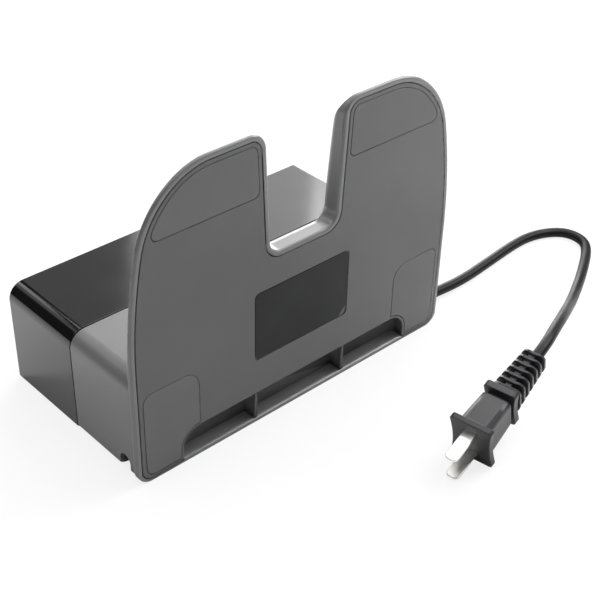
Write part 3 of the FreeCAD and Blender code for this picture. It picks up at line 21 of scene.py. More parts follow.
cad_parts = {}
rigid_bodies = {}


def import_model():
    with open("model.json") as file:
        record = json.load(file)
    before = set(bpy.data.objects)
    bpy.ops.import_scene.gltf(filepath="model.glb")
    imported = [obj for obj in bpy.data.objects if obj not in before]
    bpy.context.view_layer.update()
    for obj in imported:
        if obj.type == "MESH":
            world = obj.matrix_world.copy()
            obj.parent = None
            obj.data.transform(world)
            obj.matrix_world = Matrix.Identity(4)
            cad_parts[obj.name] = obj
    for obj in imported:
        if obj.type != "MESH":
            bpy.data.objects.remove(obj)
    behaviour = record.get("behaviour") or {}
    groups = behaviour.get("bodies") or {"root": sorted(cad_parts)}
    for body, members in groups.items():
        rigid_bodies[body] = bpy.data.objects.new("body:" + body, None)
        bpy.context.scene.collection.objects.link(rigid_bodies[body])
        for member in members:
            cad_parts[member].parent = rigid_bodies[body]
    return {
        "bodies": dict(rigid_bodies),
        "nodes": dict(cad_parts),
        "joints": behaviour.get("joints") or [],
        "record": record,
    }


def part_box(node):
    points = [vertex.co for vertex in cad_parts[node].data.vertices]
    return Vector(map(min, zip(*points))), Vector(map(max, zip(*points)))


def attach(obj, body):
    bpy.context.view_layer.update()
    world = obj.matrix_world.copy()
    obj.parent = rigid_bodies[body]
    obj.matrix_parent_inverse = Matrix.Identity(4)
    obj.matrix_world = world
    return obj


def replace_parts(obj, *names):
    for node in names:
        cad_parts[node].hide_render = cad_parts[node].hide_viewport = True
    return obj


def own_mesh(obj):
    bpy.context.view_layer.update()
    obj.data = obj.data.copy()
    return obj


log = logging.getLogger("dock")

MILLIMETRE = 0.001

# In millimetres: the drawing's height at the frame's middle, and three distances for mending meshes
MIDDLE_HEIGHT = 49.45
JOIN_DISTANCE = 0.002
SLIVER_LENGTH = 0.0005
SLICE_TOLERANCE = 0.0001

# The sharpest turn that is shaded smooth, in degrees, and the cosine of the widest in a flat patch
SMOOTH_TURN = 34.0
FLAT_LEVEL = math.cos(math.radians(0.4))

# The least patch that is counted, in square metres, and the values that most of a cloud lies between
LEAST_AREA = 1e-12
CLOUD_RANGE = (0.3, 0.7)

UP = Vector((0.0, 0.0, 1.0))
ACROSS = Vector((0.0, 1.0, 0.0))
WHITE = (1.0, 1.0, 1.0, 1.0)

Colour = tuple[float, float, float, float]
Point = tuple[float, float, float]
Reshape = Callable[[bmesh.types.BMesh], None]
Effect = Callable[[], bpy.types.NodeTree]
Feeds = dict[str | int, object]
Sockets = bpy.types.bpy_prop_collection
Element = bmesh.types.BMVert | bmesh.types.BMFace | bmesh.types.BMLoop
Neighbours = Callable[[Element], list[Element]]


def linear(code: str) -> Colour:
    """Turns a colour written as six hexadecimal digits into linear values.

    Args:
        code: Red, green and blue as in "5a5a5c".

    Returns:
        The linear colour with full alpha.
    """
    values = []
    for start in (0, 2, 4):
        part = int(code[start:start + 2], 16) / 255.0
        values.append(part / 12.92 if part <= 0.04045 else ((part + 0.055) / 1.055) ** 2.4)
    return (values[0], values[1], values[2], 1.0)


def at(x: float, y: float, z: float) -> Vector:
    """Gives a point of the drawing, in millimetres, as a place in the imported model, in metres."""
    return Vector((x, y - MIDDLE_HEIGHT, z)) * MILLIMETRE


class Slot(Enum):
    """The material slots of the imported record."""

    SHELL = "shell_grey"
    COVER = "cover_black"
    PLATE = "plate_grey"
    PAD = "pad_rubber"
    LABEL = "label_film"
    CONTACT = "contact_nickel"
    SPRING = "spring_steel"
    SCREW = "screw_steel"
    BOARD = "board_laminate"
    CORE = "ferrite"
    TAPE = "winding_tape"
    SLEEVE = "capacitor_sleeve"
    FILTER = "filter_yellow"
    FUSE = "fuse_glass"
    CLIP = "clip_brass"
    TERMINAL = "terminal_green"
    LAMP = "lamp_clear"
    BAFFLE = "baffle_black"
    GUIDE = "guide_white"
    LEAD = "lead_insulation"
    CORD = "cord_black"
    PLUG = "plug_black"
    BLADE = "blade_metal"


class Graph:
    """A node tree while it is being wired."""

    def __init__(self, tree: bpy.types.NodeTree) -> None:
        """Starts on a shader or geometry tree."""
        self.tree = tree

    def feed(self, target: bpy.types.NodeSocket, value: object) -> None:
        """Links something to an input, or sets the input's own value.

        Args:
            target: The input.
            value: A node, for its first output, or one of its outputs, or a plain value.
        """
        if isinstance(value, bpy.types.Node):
            value = value.outputs[0]
        if isinstance(value, bpy.types.NodeSocket):
            self.tree.links.new(value, target)
        else:
            target.default_value = value

    def add(self, kind: str, feeds: Feeds | None = None, **settings: object) -> bpy.types.Node:
        """Adds a node.

        Args:
            kind: The node's type name.
            feeds: What its inputs get, by their names or numbers.
            **settings: Properties to set on it first.

        Returns:
            The new node.
        """
        node = self.tree.nodes.new(kind)
        for key, value in settings.items():
            setattr(node, key, value)
        for key, value in (feeds or {}).items():
            self.feed(node.inputs[key], value)
        return node

    def math(self, operation: str, first: object, second: object) -> bpy.types.Node:
        """Adds a step on two numbers, such as "MULTIPLY"."""
        return self.add("ShaderNodeMath", {0: first, 1: second}, operation=operation)

    def noise(self, vector: object, scale: object, detail: float, rough: float) -> bpy.types.Node:
        """Adds clouds: how many per metre, their octaves and how much the fine ones count."""
        feeds = {"Vector": vector, "Scale": scale, "Detail": detail, "Roughness": rough}
        return self.add("ShaderNodeTexNoise", feeds, noise_dimensions="3D")

    def spread(self, cloud: object, low: object, high: object) -> bpy.types.Node:
        """Maps a cloud's usual values onto the range from low to high."""
        usual = {"From Min": CLOUD_RANGE[0], "From Max": CLOUD_RANGE[1]}
        return self.add("ShaderNodeMapRange", {"Value": cloud, "To Min": low, "To Max": high, **usual})

    def stretched(self, vector: object, scale: Point) -> bpy.types.Node:
        """Stretches coordinates, so that what is read at them runs along one direction."""
        return self.add("ShaderNodeMapping", {"Vector": vector, "Scale": scale})

    def blend(self, share: object, first: bpy.types.Node, second: bpy.types.Node) -> bpy.types.Node:
        """Mixes two shaders, with a share of the second from 0 to 1."""
        return self.add("ShaderNodeMixShader", {0: share, 1: first, 2: second})

    def mirrored(self, light: bpy.types.Node) -> bpy.types.Node:
        """Gives 1, from a Light Path node, for a ray from a mirror or through glass."""
        return self.math("MAXIMUM", light.outputs["Is Glossy Ray"], light.outputs["Is Transmission Ray"])


def empty_graph(owner: bpy.types.Material | bpy.types.World) -> Graph:
    """Empties a node tree.

    Args:
        owner: The material or world that has it.

    Returns:
        The graph to wire it with.
    """
    owner.use_nodes = True
    owner.node_tree.nodes.clear()
    return Graph(owner.node_tree)


def put(name: str, data: bpy.types.ID) -> bpy.types.Object:
    """Makes an object and puts it into the scene.

    Args:
        name: Its name.
        data: Its mesh, curve, lamp or camera.

    Returns:
        The object.
    """
    thing = bpy.data.objects.new(name, data)
    bpy.context.scene.collection.objects.link(thing)
    return thing


class EffectLibrary:
    """The shader node groups that several materials share, each built once."""

    def __init__(self) -> None:
        """Starts with no group built."""
        self.built: dict[str, bpy.types.NodeTree] = {}

    def start(
        self, name: str, inputs: tuple[str, ...], outputs: tuple[str, ...],
    ) -> tuple[Graph, Sockets, Sockets]:
        """Opens a new group, whose first input is its coordinates.

        Args:
            name: The group's name.
            inputs: The names of its other inputs. Color is a colour, and any other a number.
            outputs: The names of its outputs, in the same way.

        Returns:
            The graph, the group's inputs and its outputs.
        """
        tree = bpy.data.node_groups.new(name, "ShaderNodeTree")
        tree.interface.new_socket(name="Vector", in_out="INPUT", socket_type="NodeSocketVector")
        for side, names in (("INPUT", inputs), ("OUTPUT", outputs)):
            for key in names:
                kind = "NodeSocketColor" if key == "Color" else "NodeSocketFloat"
                tree.interface.new_socket(name=key, in_out=side, socket_type=kind)
        graph = Graph(tree)
        return graph, graph.add("NodeGroupInput").outputs, graph.add("NodeGroupOutput").inputs

    def get(self, build: Effect) -> bpy.types.NodeTree:
        """Gives the group that a method builds, and builds it the first time.

        Args:
            build: The method.
        """
        name = build.__name__
        if name not in self.built:
            self.built[name] = build()
        return self.built[name]

    def mould_grain(self) -> bpy.types.NodeTree:
        """Builds the fine spark-eroded grain of a moulded surface, as a height."""
        graph, given, result = self.start("Mould grain", ("Grain size",), ("Height",))
        scale = graph.math("DIVIDE", 1.0, given["Grain size"])
        fine = graph.noise(given["Vector"], scale, detail=2.0, rough=0.6)
        pits_per_grain = 0.6
        pit_scale = graph.math("MULTIPLY", scale, pits_per_grain)
        feeds = {"Vector": given["Vector"], "Scale": pit_scale, "Smoothness": 0.7}
        pits = graph.add("ShaderNodeTexVoronoi", feeds, feature="SMOOTH_F1")
        pit_depth = 0.6
        deep = graph.math("MULTIPLY", pits.outputs["Distance"], pit_depth)
        graph.feed(result["Height"], graph.math("ADD", fine, deep))
        return graph.tree

    def tone_drift(self) -> bpy.types.NodeTree:
        """Builds the faint light and dark clouds that a moulded colour has over its surface."""
        inputs = ("Color", "Amount", "Cloud size")
        graph, given, result = self.start("Tone drift", inputs, ("Color",))
        scale = graph.math("DIVIDE", 1.0, given["Cloud size"])
        cloud = graph.noise(given["Vector"], scale, detail=3.0, rough=0.5)
        low = graph.math("SUBTRACT", 1.0, given["Amount"])
        high = graph.math("ADD", 1.0, given["Amount"])
        feeds = {"Color": given["Color"], "Value": graph.spread(cloud, low, high)}
        graph.feed(result["Color"], graph.add("ShaderNodeHueSaturation", feeds))
        return graph.tree

    def handling_marks(self) -> bpy.types.NodeTree:
        """Builds the smudges and hairline scratches of handling, as a change of roughness."""
        graph, given, result = self.start("Handling marks", ("Roughness", "Amount"), ("Roughness",))
        smudge = graph.noise(given["Vector"], scale=38.0, detail=4.0, rough=0.6)
        hairs = []
        for stretch in ((900.0, 60.0, 45.0), (50.0, 700.0, 1100.0)):
            spot = graph.stretched(given["Vector"], stretch)
            hairs.append(graph.noise(spot, scale=1.0, detail=1.0, rough=0.5))
        lines = graph.math("MAXIMUM", hairs[0], hairs[1])
        down = graph.math("MULTIPLY", given["Amount"], -1.0)
        soft = graph.spread(smudge, down, given["Amount"])
        line_share = 0.5
        sharp = graph.math("MULTIPLY", graph.spread(lines, 0.0, line_share), given["Amount"])
        total = graph.math("ADD", given["Roughness"], graph.math("ADD", soft, sharp))
        least_roughness = 0.02
        graph.feed(result["Roughness"], graph.math("MAXIMUM", total, least_roughness))
        return graph.tree

    def drawn_lines(self) -> bpy.types.NodeTree:
        """Builds the fine lines that rolling and drawing leave in sheet metal."""
        inputs = ("Roughness", "Amount")
        graph, given, result = self.start("Drawn lines", inputs, ("Roughness", "Height"))
        spot = graph.stretched(given["Vector"], (90.0, 5200.0, 5200.0))
        lines = graph.noise(spot, scale=1.0, detail=2.0, rough=0.6)
        down = graph.math("MULTIPLY", given["Amount"], -1.0)
        shift = graph.spread(lines, down, given["Amount"])
        graph.feed(result["Roughness"], graph.math("ADD", given["Roughness"], shift))
        graph.feed(result["Height"], lines)
        return graph.tree

    def glass_weave(self) -> bpy.types.NodeTree:
        """Builds the woven glass cloth that shows through a circuit board's lacquer."""
        graph, given, result = self.start("Glass weave", ("Thread",), ("Mask",))
        scale = graph.math("DIVIDE", 1.0, given["Thread"])
        crossings = []
        for direction in ("X", "Z"):
            feeds = {"Vector": given["Vector"], "Scale": scale}
            wave = graph.add("ShaderNodeTexWave", feeds, wave_type="BANDS", bands_direction=direction)
            crossings.append(wave.outputs["Fac"])
        graph.feed(result["Mask"], graph.math("MULTIPLY", crossings[0], crossings[1]))
        return graph.tree


effects = EffectLibrary()


class Surface:
    """A material while it is being built, with its Principled shader and Object coordinates."""

    def __init__(self, name: str) -> None:
        """Makes the material and wires its shader to the output.

        Args:
            name: The material's name.
        """
        self.material = bpy.data.materials.new(name)
        self.graph = empty_graph(self.material)
        self.shader = self.graph.add("ShaderNodeBsdfPrincipled")
        self.graph.add("ShaderNodeOutputMaterial", {"Surface": self.shader})
        self.coordinates = self.graph.add("ShaderNodeTexCoord").outputs["Object"]

    def feed(self, name: str, value: object) -> None:
        """Links a socket to one of the shader's inputs, or sets its value."""
        self.graph.feed(self.shader.inputs[name], value)

    def effect(self, build: Effect, **values: object) -> Sockets:
        """Places a shared effect, read at the material's coordinates.

        Args:
            build: The library's method that builds the effect.
            **values: What its inputs get, with underscores for the spaces in their names.

        Returns:
            The effect's outputs by name.
        """
        feeds = {key.replace("_", " "): value for key, value in values.items()}
        feeds["Vector"] = self.coordinates
        return self.graph.add("ShaderNodeGroup", feeds, node_tree=effects.get(build)).outputs

    def tint(self, code: str, amount: float, cloud_size: float = 30.0) -> None:
        """Sets the colour, with faint clouds over it.

        Args:
            code: The colour as six hexadecimal digits.
            amount: How much lighter and darker the clouds are, as a share.
            cloud_size: Their size in millimetres.
        """
        size = cloud_size * MILLIMETRE
        tone = self.effect(effects.tone_drift, Color=linear(code), Amount=amount, Cloud_size=size)
        self.feed("Base Color", tone["Color"])

    def polish(self, build: Effect, roughness: float, amount: float) -> Sockets:
        """Sets the roughness, with the marks of an effect in it.

        Args:
            build: The library's method that builds the effect.
            roughness: The roughness between the marks.
            amount: How much the marks change it.

        Returns:
            The effect's outputs by name.
        """
        gloss = self.effect(build, Roughness=roughness, Amount=amount)
        self.feed("Roughness", gloss["Roughness"])
        return gloss

    def emboss(self, height: object, depth: float) -> None:
        """Lets a height from 0 to 1 shade the surface, with 1 as so many millimetres."""
        feeds = {"Strength": 1.0, "Distance": depth * MILLIMETRE, "Height": height}
        self.feed("Normal", self.graph.add("ShaderNodeBump", feeds))


@dataclass(frozen=True)
class MouldedPlastic:
    """Moulded plastic or rubber, from grained and matt to polished."""

    name: str
    colour: str
    roughness: float
    grain_size: float = 0.5
    grain_depth: float = 0.01
    drift: float = 0.04
    marks: float = 0.04
    gloss_index: float = 1.5

    def material(self) -> bpy.types.Material:
        """Builds the material: clouded colour, handled gloss and mould grain."""
        surface = Surface(self.name)
        surface.tint(self.colour, self.drift)
        surface.polish(effects.handling_marks, self.roughness, self.marks)
        grain = surface.effect(effects.mould_grain, Grain_size=self.grain_size * MILLIMETRE)
        surface.emboss(grain["Height"], self.grain_depth)
        surface.feed("IOR", self.gloss_index)
        return surface.material


@dataclass(frozen=True)
class SheetMetal:
    """Plated or bare metal with drawn lines."""

    name: str
    colour: str
    roughness: float
    lines: float = 0.05
    line_depth: float = 0.002
    drift: float = 0.03
    cloud_size: float = 6.0

    def material(self) -> bpy.types.Material:
        """Builds the material: metal colour with faint clouds, and drawn lines in its gloss."""
        surface = Surface(self.name)
        surface.tint(self.colour, self.drift, self.cloud_size)
        drawn = surface.polish(effects.drawn_lines, self.roughness, self.lines)
        surface.emboss(drawn["Height"], self.line_depth)
        surface.feed("Metallic", 1.0)
        return surface.material


@dataclass(frozen=True)
class BoardLaminate:
    """Lacquered circuit board with its glass cloth showing through."""

    name: str
    colour: str
    thread_colour: str
    roughness: float = 0.3
    marks: float = 0.05
    thread: float = 1.1
    weave_depth: float = 0.004

    def material(self) -> bpy.types.Material:
        """Builds the material: woven cloth under lacquer, with handled gloss."""
        surface = Surface(self.name)
        weave = surface.effect(effects.glass_weave, Thread=self.thread * MILLIMETRE)
        surface.polish(effects.handling_marks, self.roughness, self.marks)
        feeds = {"Factor": weave["Mask"], 6: linear(self.colour), 7: linear(self.thread_colour)}
        mix = surface.graph.add("ShaderNodeMix", feeds, data_type="RGBA")
        surface.feed("Base Color", mix.outputs[2])
        surface.emboss(weave["Mask"], self.weave_depth)
        return surface.material


@dataclass(frozen=True)
class ClearResin:
    """Clear resin or glass that light passes through."""

    name: str
    colour: str
    roughness: float = 0.08
    drift: float = 0.03
    cloud_size: float = 4.0
    marks: float = 0.03
    clearness: float = 0.9
    gloss_index: float = 1.49

    def material(self) -> bpy.types.Material:
        """Builds the material: tinted, clear, and slightly uneven in its gloss."""
        surface = Surface(self.name)
        surface.tint(self.colour, self.drift, self.cloud_size)
        surface.polish(effects.handling_marks, self.roughness, self.marks)
        surface.feed("Transmission Weight", self.clearness)
        surface.feed("IOR", self.gloss_index)
        return surface.material


Finish = MouldedPlastic | SheetMetal | BoardLaminate | ClearResin

# Plastics have their roughness, grain size, grain depth, drift, marks and index of refraction here,
# and metals their roughness, lines and line depth
FINISHES: dict[Slot, Finish] = {
    Slot.SHELL: MouldedPlastic("Grey shell", "747475", 0.3, 0.7, 0.006, 0.03, 0.03, 1.6),
    Slot.COVER: MouldedPlastic("Black cover", "0a0a0b", 0.1, 6.0, 0.004, 0.05, 0.015, 1.62),
    Slot.PLATE: MouldedPlastic("Grey plate", "5e5e5f", 0.42, 0.6, 0.01, 0.03),
    Slot.PAD: MouldedPlastic("Pad rubber", "6d6d6e", 0.6, 0.35, 0.012, 0.03, 0.05),
    Slot.LABEL: MouldedPlastic("Label film", "161617", 0.5, 0.25, 0.004, 0.02, 0.05, 1.36),
    Slot.CONTACT: SheetMetal("Contact nickel", "c9c6c0", 0.22),
    Slot.SPRING: SheetMetal("Spring steel", "a7a9ab", 0.28),
    Slot.SCREW: SheetMetal("Screw steel", "8b8c8e", 0.35),
    Slot.BOARD: BoardLaminate("Board laminate", "1d4a26", "2b6a38"),
    Slot.CORE: MouldedPlastic("Ferrite", "2c2b2a", 0.55, 0.3, 0.015, 0.08),
    Slot.TAPE: MouldedPlastic("Winding tape", "c79a2b", 0.35, 1.2, 0.02, 0.06),
    Slot.SLEEVE: MouldedPlastic("Capacitor sleeve", "1c2230", 0.25, 2.0, 0.004, 0.03),
    Slot.FILTER: MouldedPlastic("Filter yellow", "d2a514", 0.4, 0.6, 0.008, 0.03),
    Slot.FUSE: ClearResin("Fuse glass", "dfe6e4"),
    Slot.CLIP: SheetMetal("Clip brass", "b0914f", 0.3),
    Slot.TERMINAL: MouldedPlastic("Terminal green", "2f7a46", 0.4, 0.6, 0.008, 0.03),
    Slot.LAMP: ClearResin("Lamp resin", "dcdcd6"),
    Slot.BAFFLE: MouldedPlastic("Baffle black", "1a1a1a", 0.6, 0.5, 0.012, 0.04),
    Slot.GUIDE: MouldedPlastic("Guide white", "c8c6be", 0.42, 0.6, 0.008, 0.03),
    Slot.LEAD: MouldedPlastic("Lead insulation", "7d1a18", 0.38, 0.8, 0.004, 0.03),
    Slot.CORD: MouldedPlastic("Cord sheath", "0f0f10", 0.4, 0.6, 0.006, 0.05, 0.05, 1.26),
    Slot.PLUG: MouldedPlastic("Plug moulding", "303032", 0.36, 0.45, 0.012, 0.04, 0.05, 1.4),
    Slot.BLADE: SheetMetal("Blade nickel", "eeede9", 0.34, 0.04, 0.001),
}


class Workshop:
    """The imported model, the finishes and the calls that every sub-assembly needs."""

    def __init__(self, frame: dict) -> None:
        """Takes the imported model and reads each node's slot from its record.
        """
        self.nodes: dict[str, bpy.types.Object] = frame["nodes"]
        self.materials: dict[Slot, bpy.types.Material] = {}
        parts = frame["record"]["subparts"]
        self.slots = {part["node"]: Slot(part["material_slot"]) for part in parts}

    def finish(self, slot: Slot) -> bpy.types.Material:
        """Gives a slot's material, and builds it the first time.

        Args:
            slot: The slot.
        """
        if slot not in self.materials:
            self.materials[slot] = FINISHES[slot].material()
        return self.materials[slot]

    def add(self, name: str, mesh: bpy.types.Mesh, slot: Slot, body: str = "dock") -> bpy.types.Object:
        """Makes a piece from a finished mesh and puts it on its body.

        Args:
            name: The piece's name.
            mesh: Its mesh, in place.
            slot: Its material slot.
            body: The body that it rides on.

        Returns:
            The new piece.
        """
        mesh.materials.clear()
        mesh.materials.append(self.finish(slot))
        piece = put(name, mesh)
        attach(piece, body)
        log.info("%s: %d faces on %s", name, len(mesh.polygons), body)
        return piece

    def joined(self, node: str) -> bmesh.types.BMesh:
        """Copies a node's mesh with its loose triangles joined.

        Args:
            node: The node's name.
        """
        work = bmesh.new()
        work.from_mesh(self.nodes[node].data)
        bmesh.ops.remove_doubles(work, verts=work.verts, dist=JOIN_DISTANCE * MILLIMETRE)
        bmesh.ops.dissolve_degenerate(work, edges=work.edges, dist=SLIVER_LENGTH * MILLIMETRE)
        return work

    def replace(
        self, node: str, body: str = "dock", angle: float = SMOOTH_TURN, reshape: Reshape | None = None,
    ) -> bpy.types.Object:
        """Lets a copy that is shaded evenly stand for a node.

        Args:
            node: The node's name.
            body: The body that it is on.
            angle: The sharpest turn that is shaded smooth, in degrees.
            reshape: What changes the joined mesh before it is shaded.

        Returns:
            The piece that stands for the node.
        """
        work = self.joined(node)
        if reshape:
            reshape(work)
        mesh = plain_mesh(node + "_smooth", work)
        shade_evenly(mesh, angle)
        piece = self.add(node + "_dressed", mesh, self.slots[node], body)
        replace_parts(piece, node)
        return piece

    def dress(self, node: str) -> None:
        """Gives a node that stays as it is the material of its slot.

        Args:
            node: The node's name.
        """
        for place in self.nodes[node].material_slots:
            place.material = self.finish(self.slots[node])
        log.info("%s: dressed as it is", node)


def plain_mesh(name: str, work: bmesh.types.BMesh) -> bpy.types.Mesh:
    """Turns a working mesh into a plain one, and frees it.

    Args:
        name: The plain mesh's name.
        work: The working mesh.
    """
    mesh = bpy.data.meshes.new(name)
    work.to_mesh(mesh)
    work.free()
    return mesh


def grow(seed: Element, neighbours: Neighbours) -> list[Element]:
    """Gathers an element and all that is joined to it, step by step.

    Args:
        seed: The first element.
        neighbours: Gives the elements that one is joined to.

    Returns:
        The elements, in the order in which they were found.
    """
    group = [seed]
    found = {seed}
    for element in group:
        for other in neighbours(element):
            if other not in found:
                found.add(other)
                group.append(other)
    return group


def groups(elements: Iterable[Element], neighbours: Neighbours) -> list[list[Element]]:
    """Sorts elements into groups whose members are joined to each other.

    Args:
        elements: The elements.
        neighbours: Gives the elements that one is joined to.

    Returns:
        The groups, in the order of their first elements.
    """
    done = set()
    found = []
    for seed in elements:
        if seed not in done:
            found.append(grow(seed, neighbours))
            done.update(found[-1])
    return found


def edge_mates(vertex: bmesh.types.BMVert) -> list[bmesh.types.BMVert]:
    """Gives the vertices at the other ends of a vertex's edges."""
    return [edge.other_vert(vertex) for edge in vertex.link_edges]


def smooth_mates(corner: bmesh.types.BMLoop) -> list[bmesh.types.BMLoop]:
    """Gives the corners at the same vertex that lie across a smooth edge.

    Args:
        corner: A face's corner.
    """
    edges = [edge for edge in (corner.edge, corner.link_loop_prev.edge) if edge.smooth]
    others = corner.vert.link_loops
    return [other for other in others if any(other.face in edge.link_faces for edge in edges)]


def level_mates(face: bmesh.types.BMFace, up: Vector) -> list[bmesh.types.BMFace]:
    """Gives the faces beside one that face nearly the way that up does."""
    beside = [other for edge in face.edges for other in edge.link_faces]
    return [other for other in beside if other.normal.dot(up) > FLAT_LEVEL]


def flat_areas(work: bmesh.types.BMesh) -> list[float]:
    """Measures for each face the flat patch that it is a part of.

    Args:
        work: The mesh.

    Returns:
        The patch's area for each face, in square metres.
    """
    areas = [0.0] * len(work.faces)
    for seed in work.faces:
        if areas[seed.index]:
            continue
        patch = grow(seed, partial(level_mates, up=seed.normal))
        total = sum(face.calc_area() for face in patch)
        for face in patch:
            areas[face.index] = max(total, LEAST_AREA)
    return areas


def shade_evenly(mesh: bpy.types.Mesh, angle: float) -> None:
    """Shades a mesh smooth, with flat patches kept flat up to the curves that meet them.

    Args:
        mesh: The mesh.
        angle: The sharpest turn that is shaded smooth, in degrees.
    """
    mesh.shade_smooth()
    mesh.set_sharp_from_angle(angle=math.radians(angle))
    work = bmesh.new()
    work.from_mesh(mesh)
    areas = flat_areas(work)
    normals = [UP] * len(mesh.loops)
    starts = [polygon.loop_start for polygon in mesh.polygons]
    for vertex in work.verts:
        for fan in groups(vertex.link_loops, smooth_mates):
            total = Vector()
            for corner in fan:
                total += corner.face.normal * (corner.calc_angle() * areas[corner.face.index])
            for corner in fan:
                place = starts[corner.face.index] + list(corner.face.loops).index(corner)
                normals[place] = total.normalized()
    work.free()
    mesh.normals_split_custom_set([tuple(normal) for normal in normals])


def evaluated_mesh(piece: bpy.types.Object) -> bpy.types.Mesh:
    """Turns an object with its modifiers into a plain mesh.

    Args:
        piece: The object, which stays as it is.
    """
    graph = bpy.context.evaluated_depsgraph_get()
    graph.update()
    return bpy.data.meshes.new_from_object(piece.evaluated_get(graph), depsgraph=graph)


def run_tree(
    name: str,
    mesh: bpy.types.Mesh,
    tree: bpy.types.NodeTree,
    item: bpy.types.Mesh,
    material: bpy.types.Material,
) -> bpy.types.Mesh:
    """Runs a geometry tree over a mesh and gives the result as a plain mesh.

    Args:
        name: A name for the object that carries the mesh.
        mesh: What the tree starts from: a path, or points.
        tree: The tree.
        item: What it carries along the path, or sets at each point.
        material: What the result is made of.

    Returns:
        The plain mesh.
    """
    carrier = put(name, mesh)
    guest = put(name + "_item", item)
    modifier = carrier.modifiers.new(name, "NODES")
    modifier.node_group = tree
    values = {"Item": guest, "Material": material}
    for socket in tree.interface.items_tree:
        if socket.name in values:
            modifier[socket.identifier] = values[socket.name]
    result = evaluated_mesh(carrier)
    bpy.data.objects.remove(carrier)
    bpy.data.objects.remove(guest)
    return result


def path_mesh(
    name: str, points: list[Vector], closed: bool = False, linked: bool = True,
) -> bpy.types.Mesh:
    """Makes a mesh of one chain of edges, or of points alone.

    Args:
        name: The mesh's name.
        points: The chain's points, in metres.
        closed: Whether the last point joins the first.
        linked: Whether there are edges.

    Returns:
        The mesh.
    """
    edges = [(i, i + 1) for i in range(len(points) - 1)] if linked else []
    if closed:
        edges.append((len(points) - 1, 0))
    mesh = bpy.data.meshes.new(name)
    mesh.from_pydata([tuple(p) for p in points], edges, [])
    return mesh


class GeometryTree:
    """A Geometry Nodes tree with an item, which ends in Realize Instances and Set Material."""

    def __init__(self, name: str) -> None:
        """Opens the tree.

        Args:
            name: Its name.
        """
        self.tree = bpy.data.node_groups.new(name, "GeometryNodeTree")
        face = self.tree.interface
        for key, kind in (("Geometry", "Geometry"), ("Item", "Object"), ("Material", "Material")):
            face.new_socket(name=key, in_out="INPUT", socket_type="NodeSocket" + kind)
        face.new_socket(name="Geometry", in_out="OUTPUT", socket_type="NodeSocketGeometry")
        self.graph = Graph(self.tree)
        self.given = self.graph.add("NodeGroupInput").outputs
        info = self.graph.add("GeometryNodeObjectInfo", {"Object": self.given["Item"]})
        self.item = info.outputs["Geometry"]

    def close(self, geometry: bpy.types.Node) -> bpy.types.NodeTree:
        """Ends the tree.

        Args:
            geometry: The node that gives what has been built.

        Returns:
            The finished tree.
        """
        real = self.graph.add("GeometryNodeRealizeInstances", {0: geometry})
        feeds = {"Geometry": real, "Material": self.given["Material"]}
        self.graph.add("NodeGroupOutput", {0: self.graph.add("GeometryNodeSetMaterial", feeds)})
        return self.tree


@dataclass(frozen=True)
class Softbox:
    """A softbox on a dome round the dock, aimed at it.

    The azimuth runs from +X towards +Y and the elevation up from the floor, in degrees. The glow
    is its radiance, where 1 is white.
    """

    azimuth: float
    elevation: float
    glow: float
    width: float = 0.42
    height: float = 0.45
    distance: float = 1.3


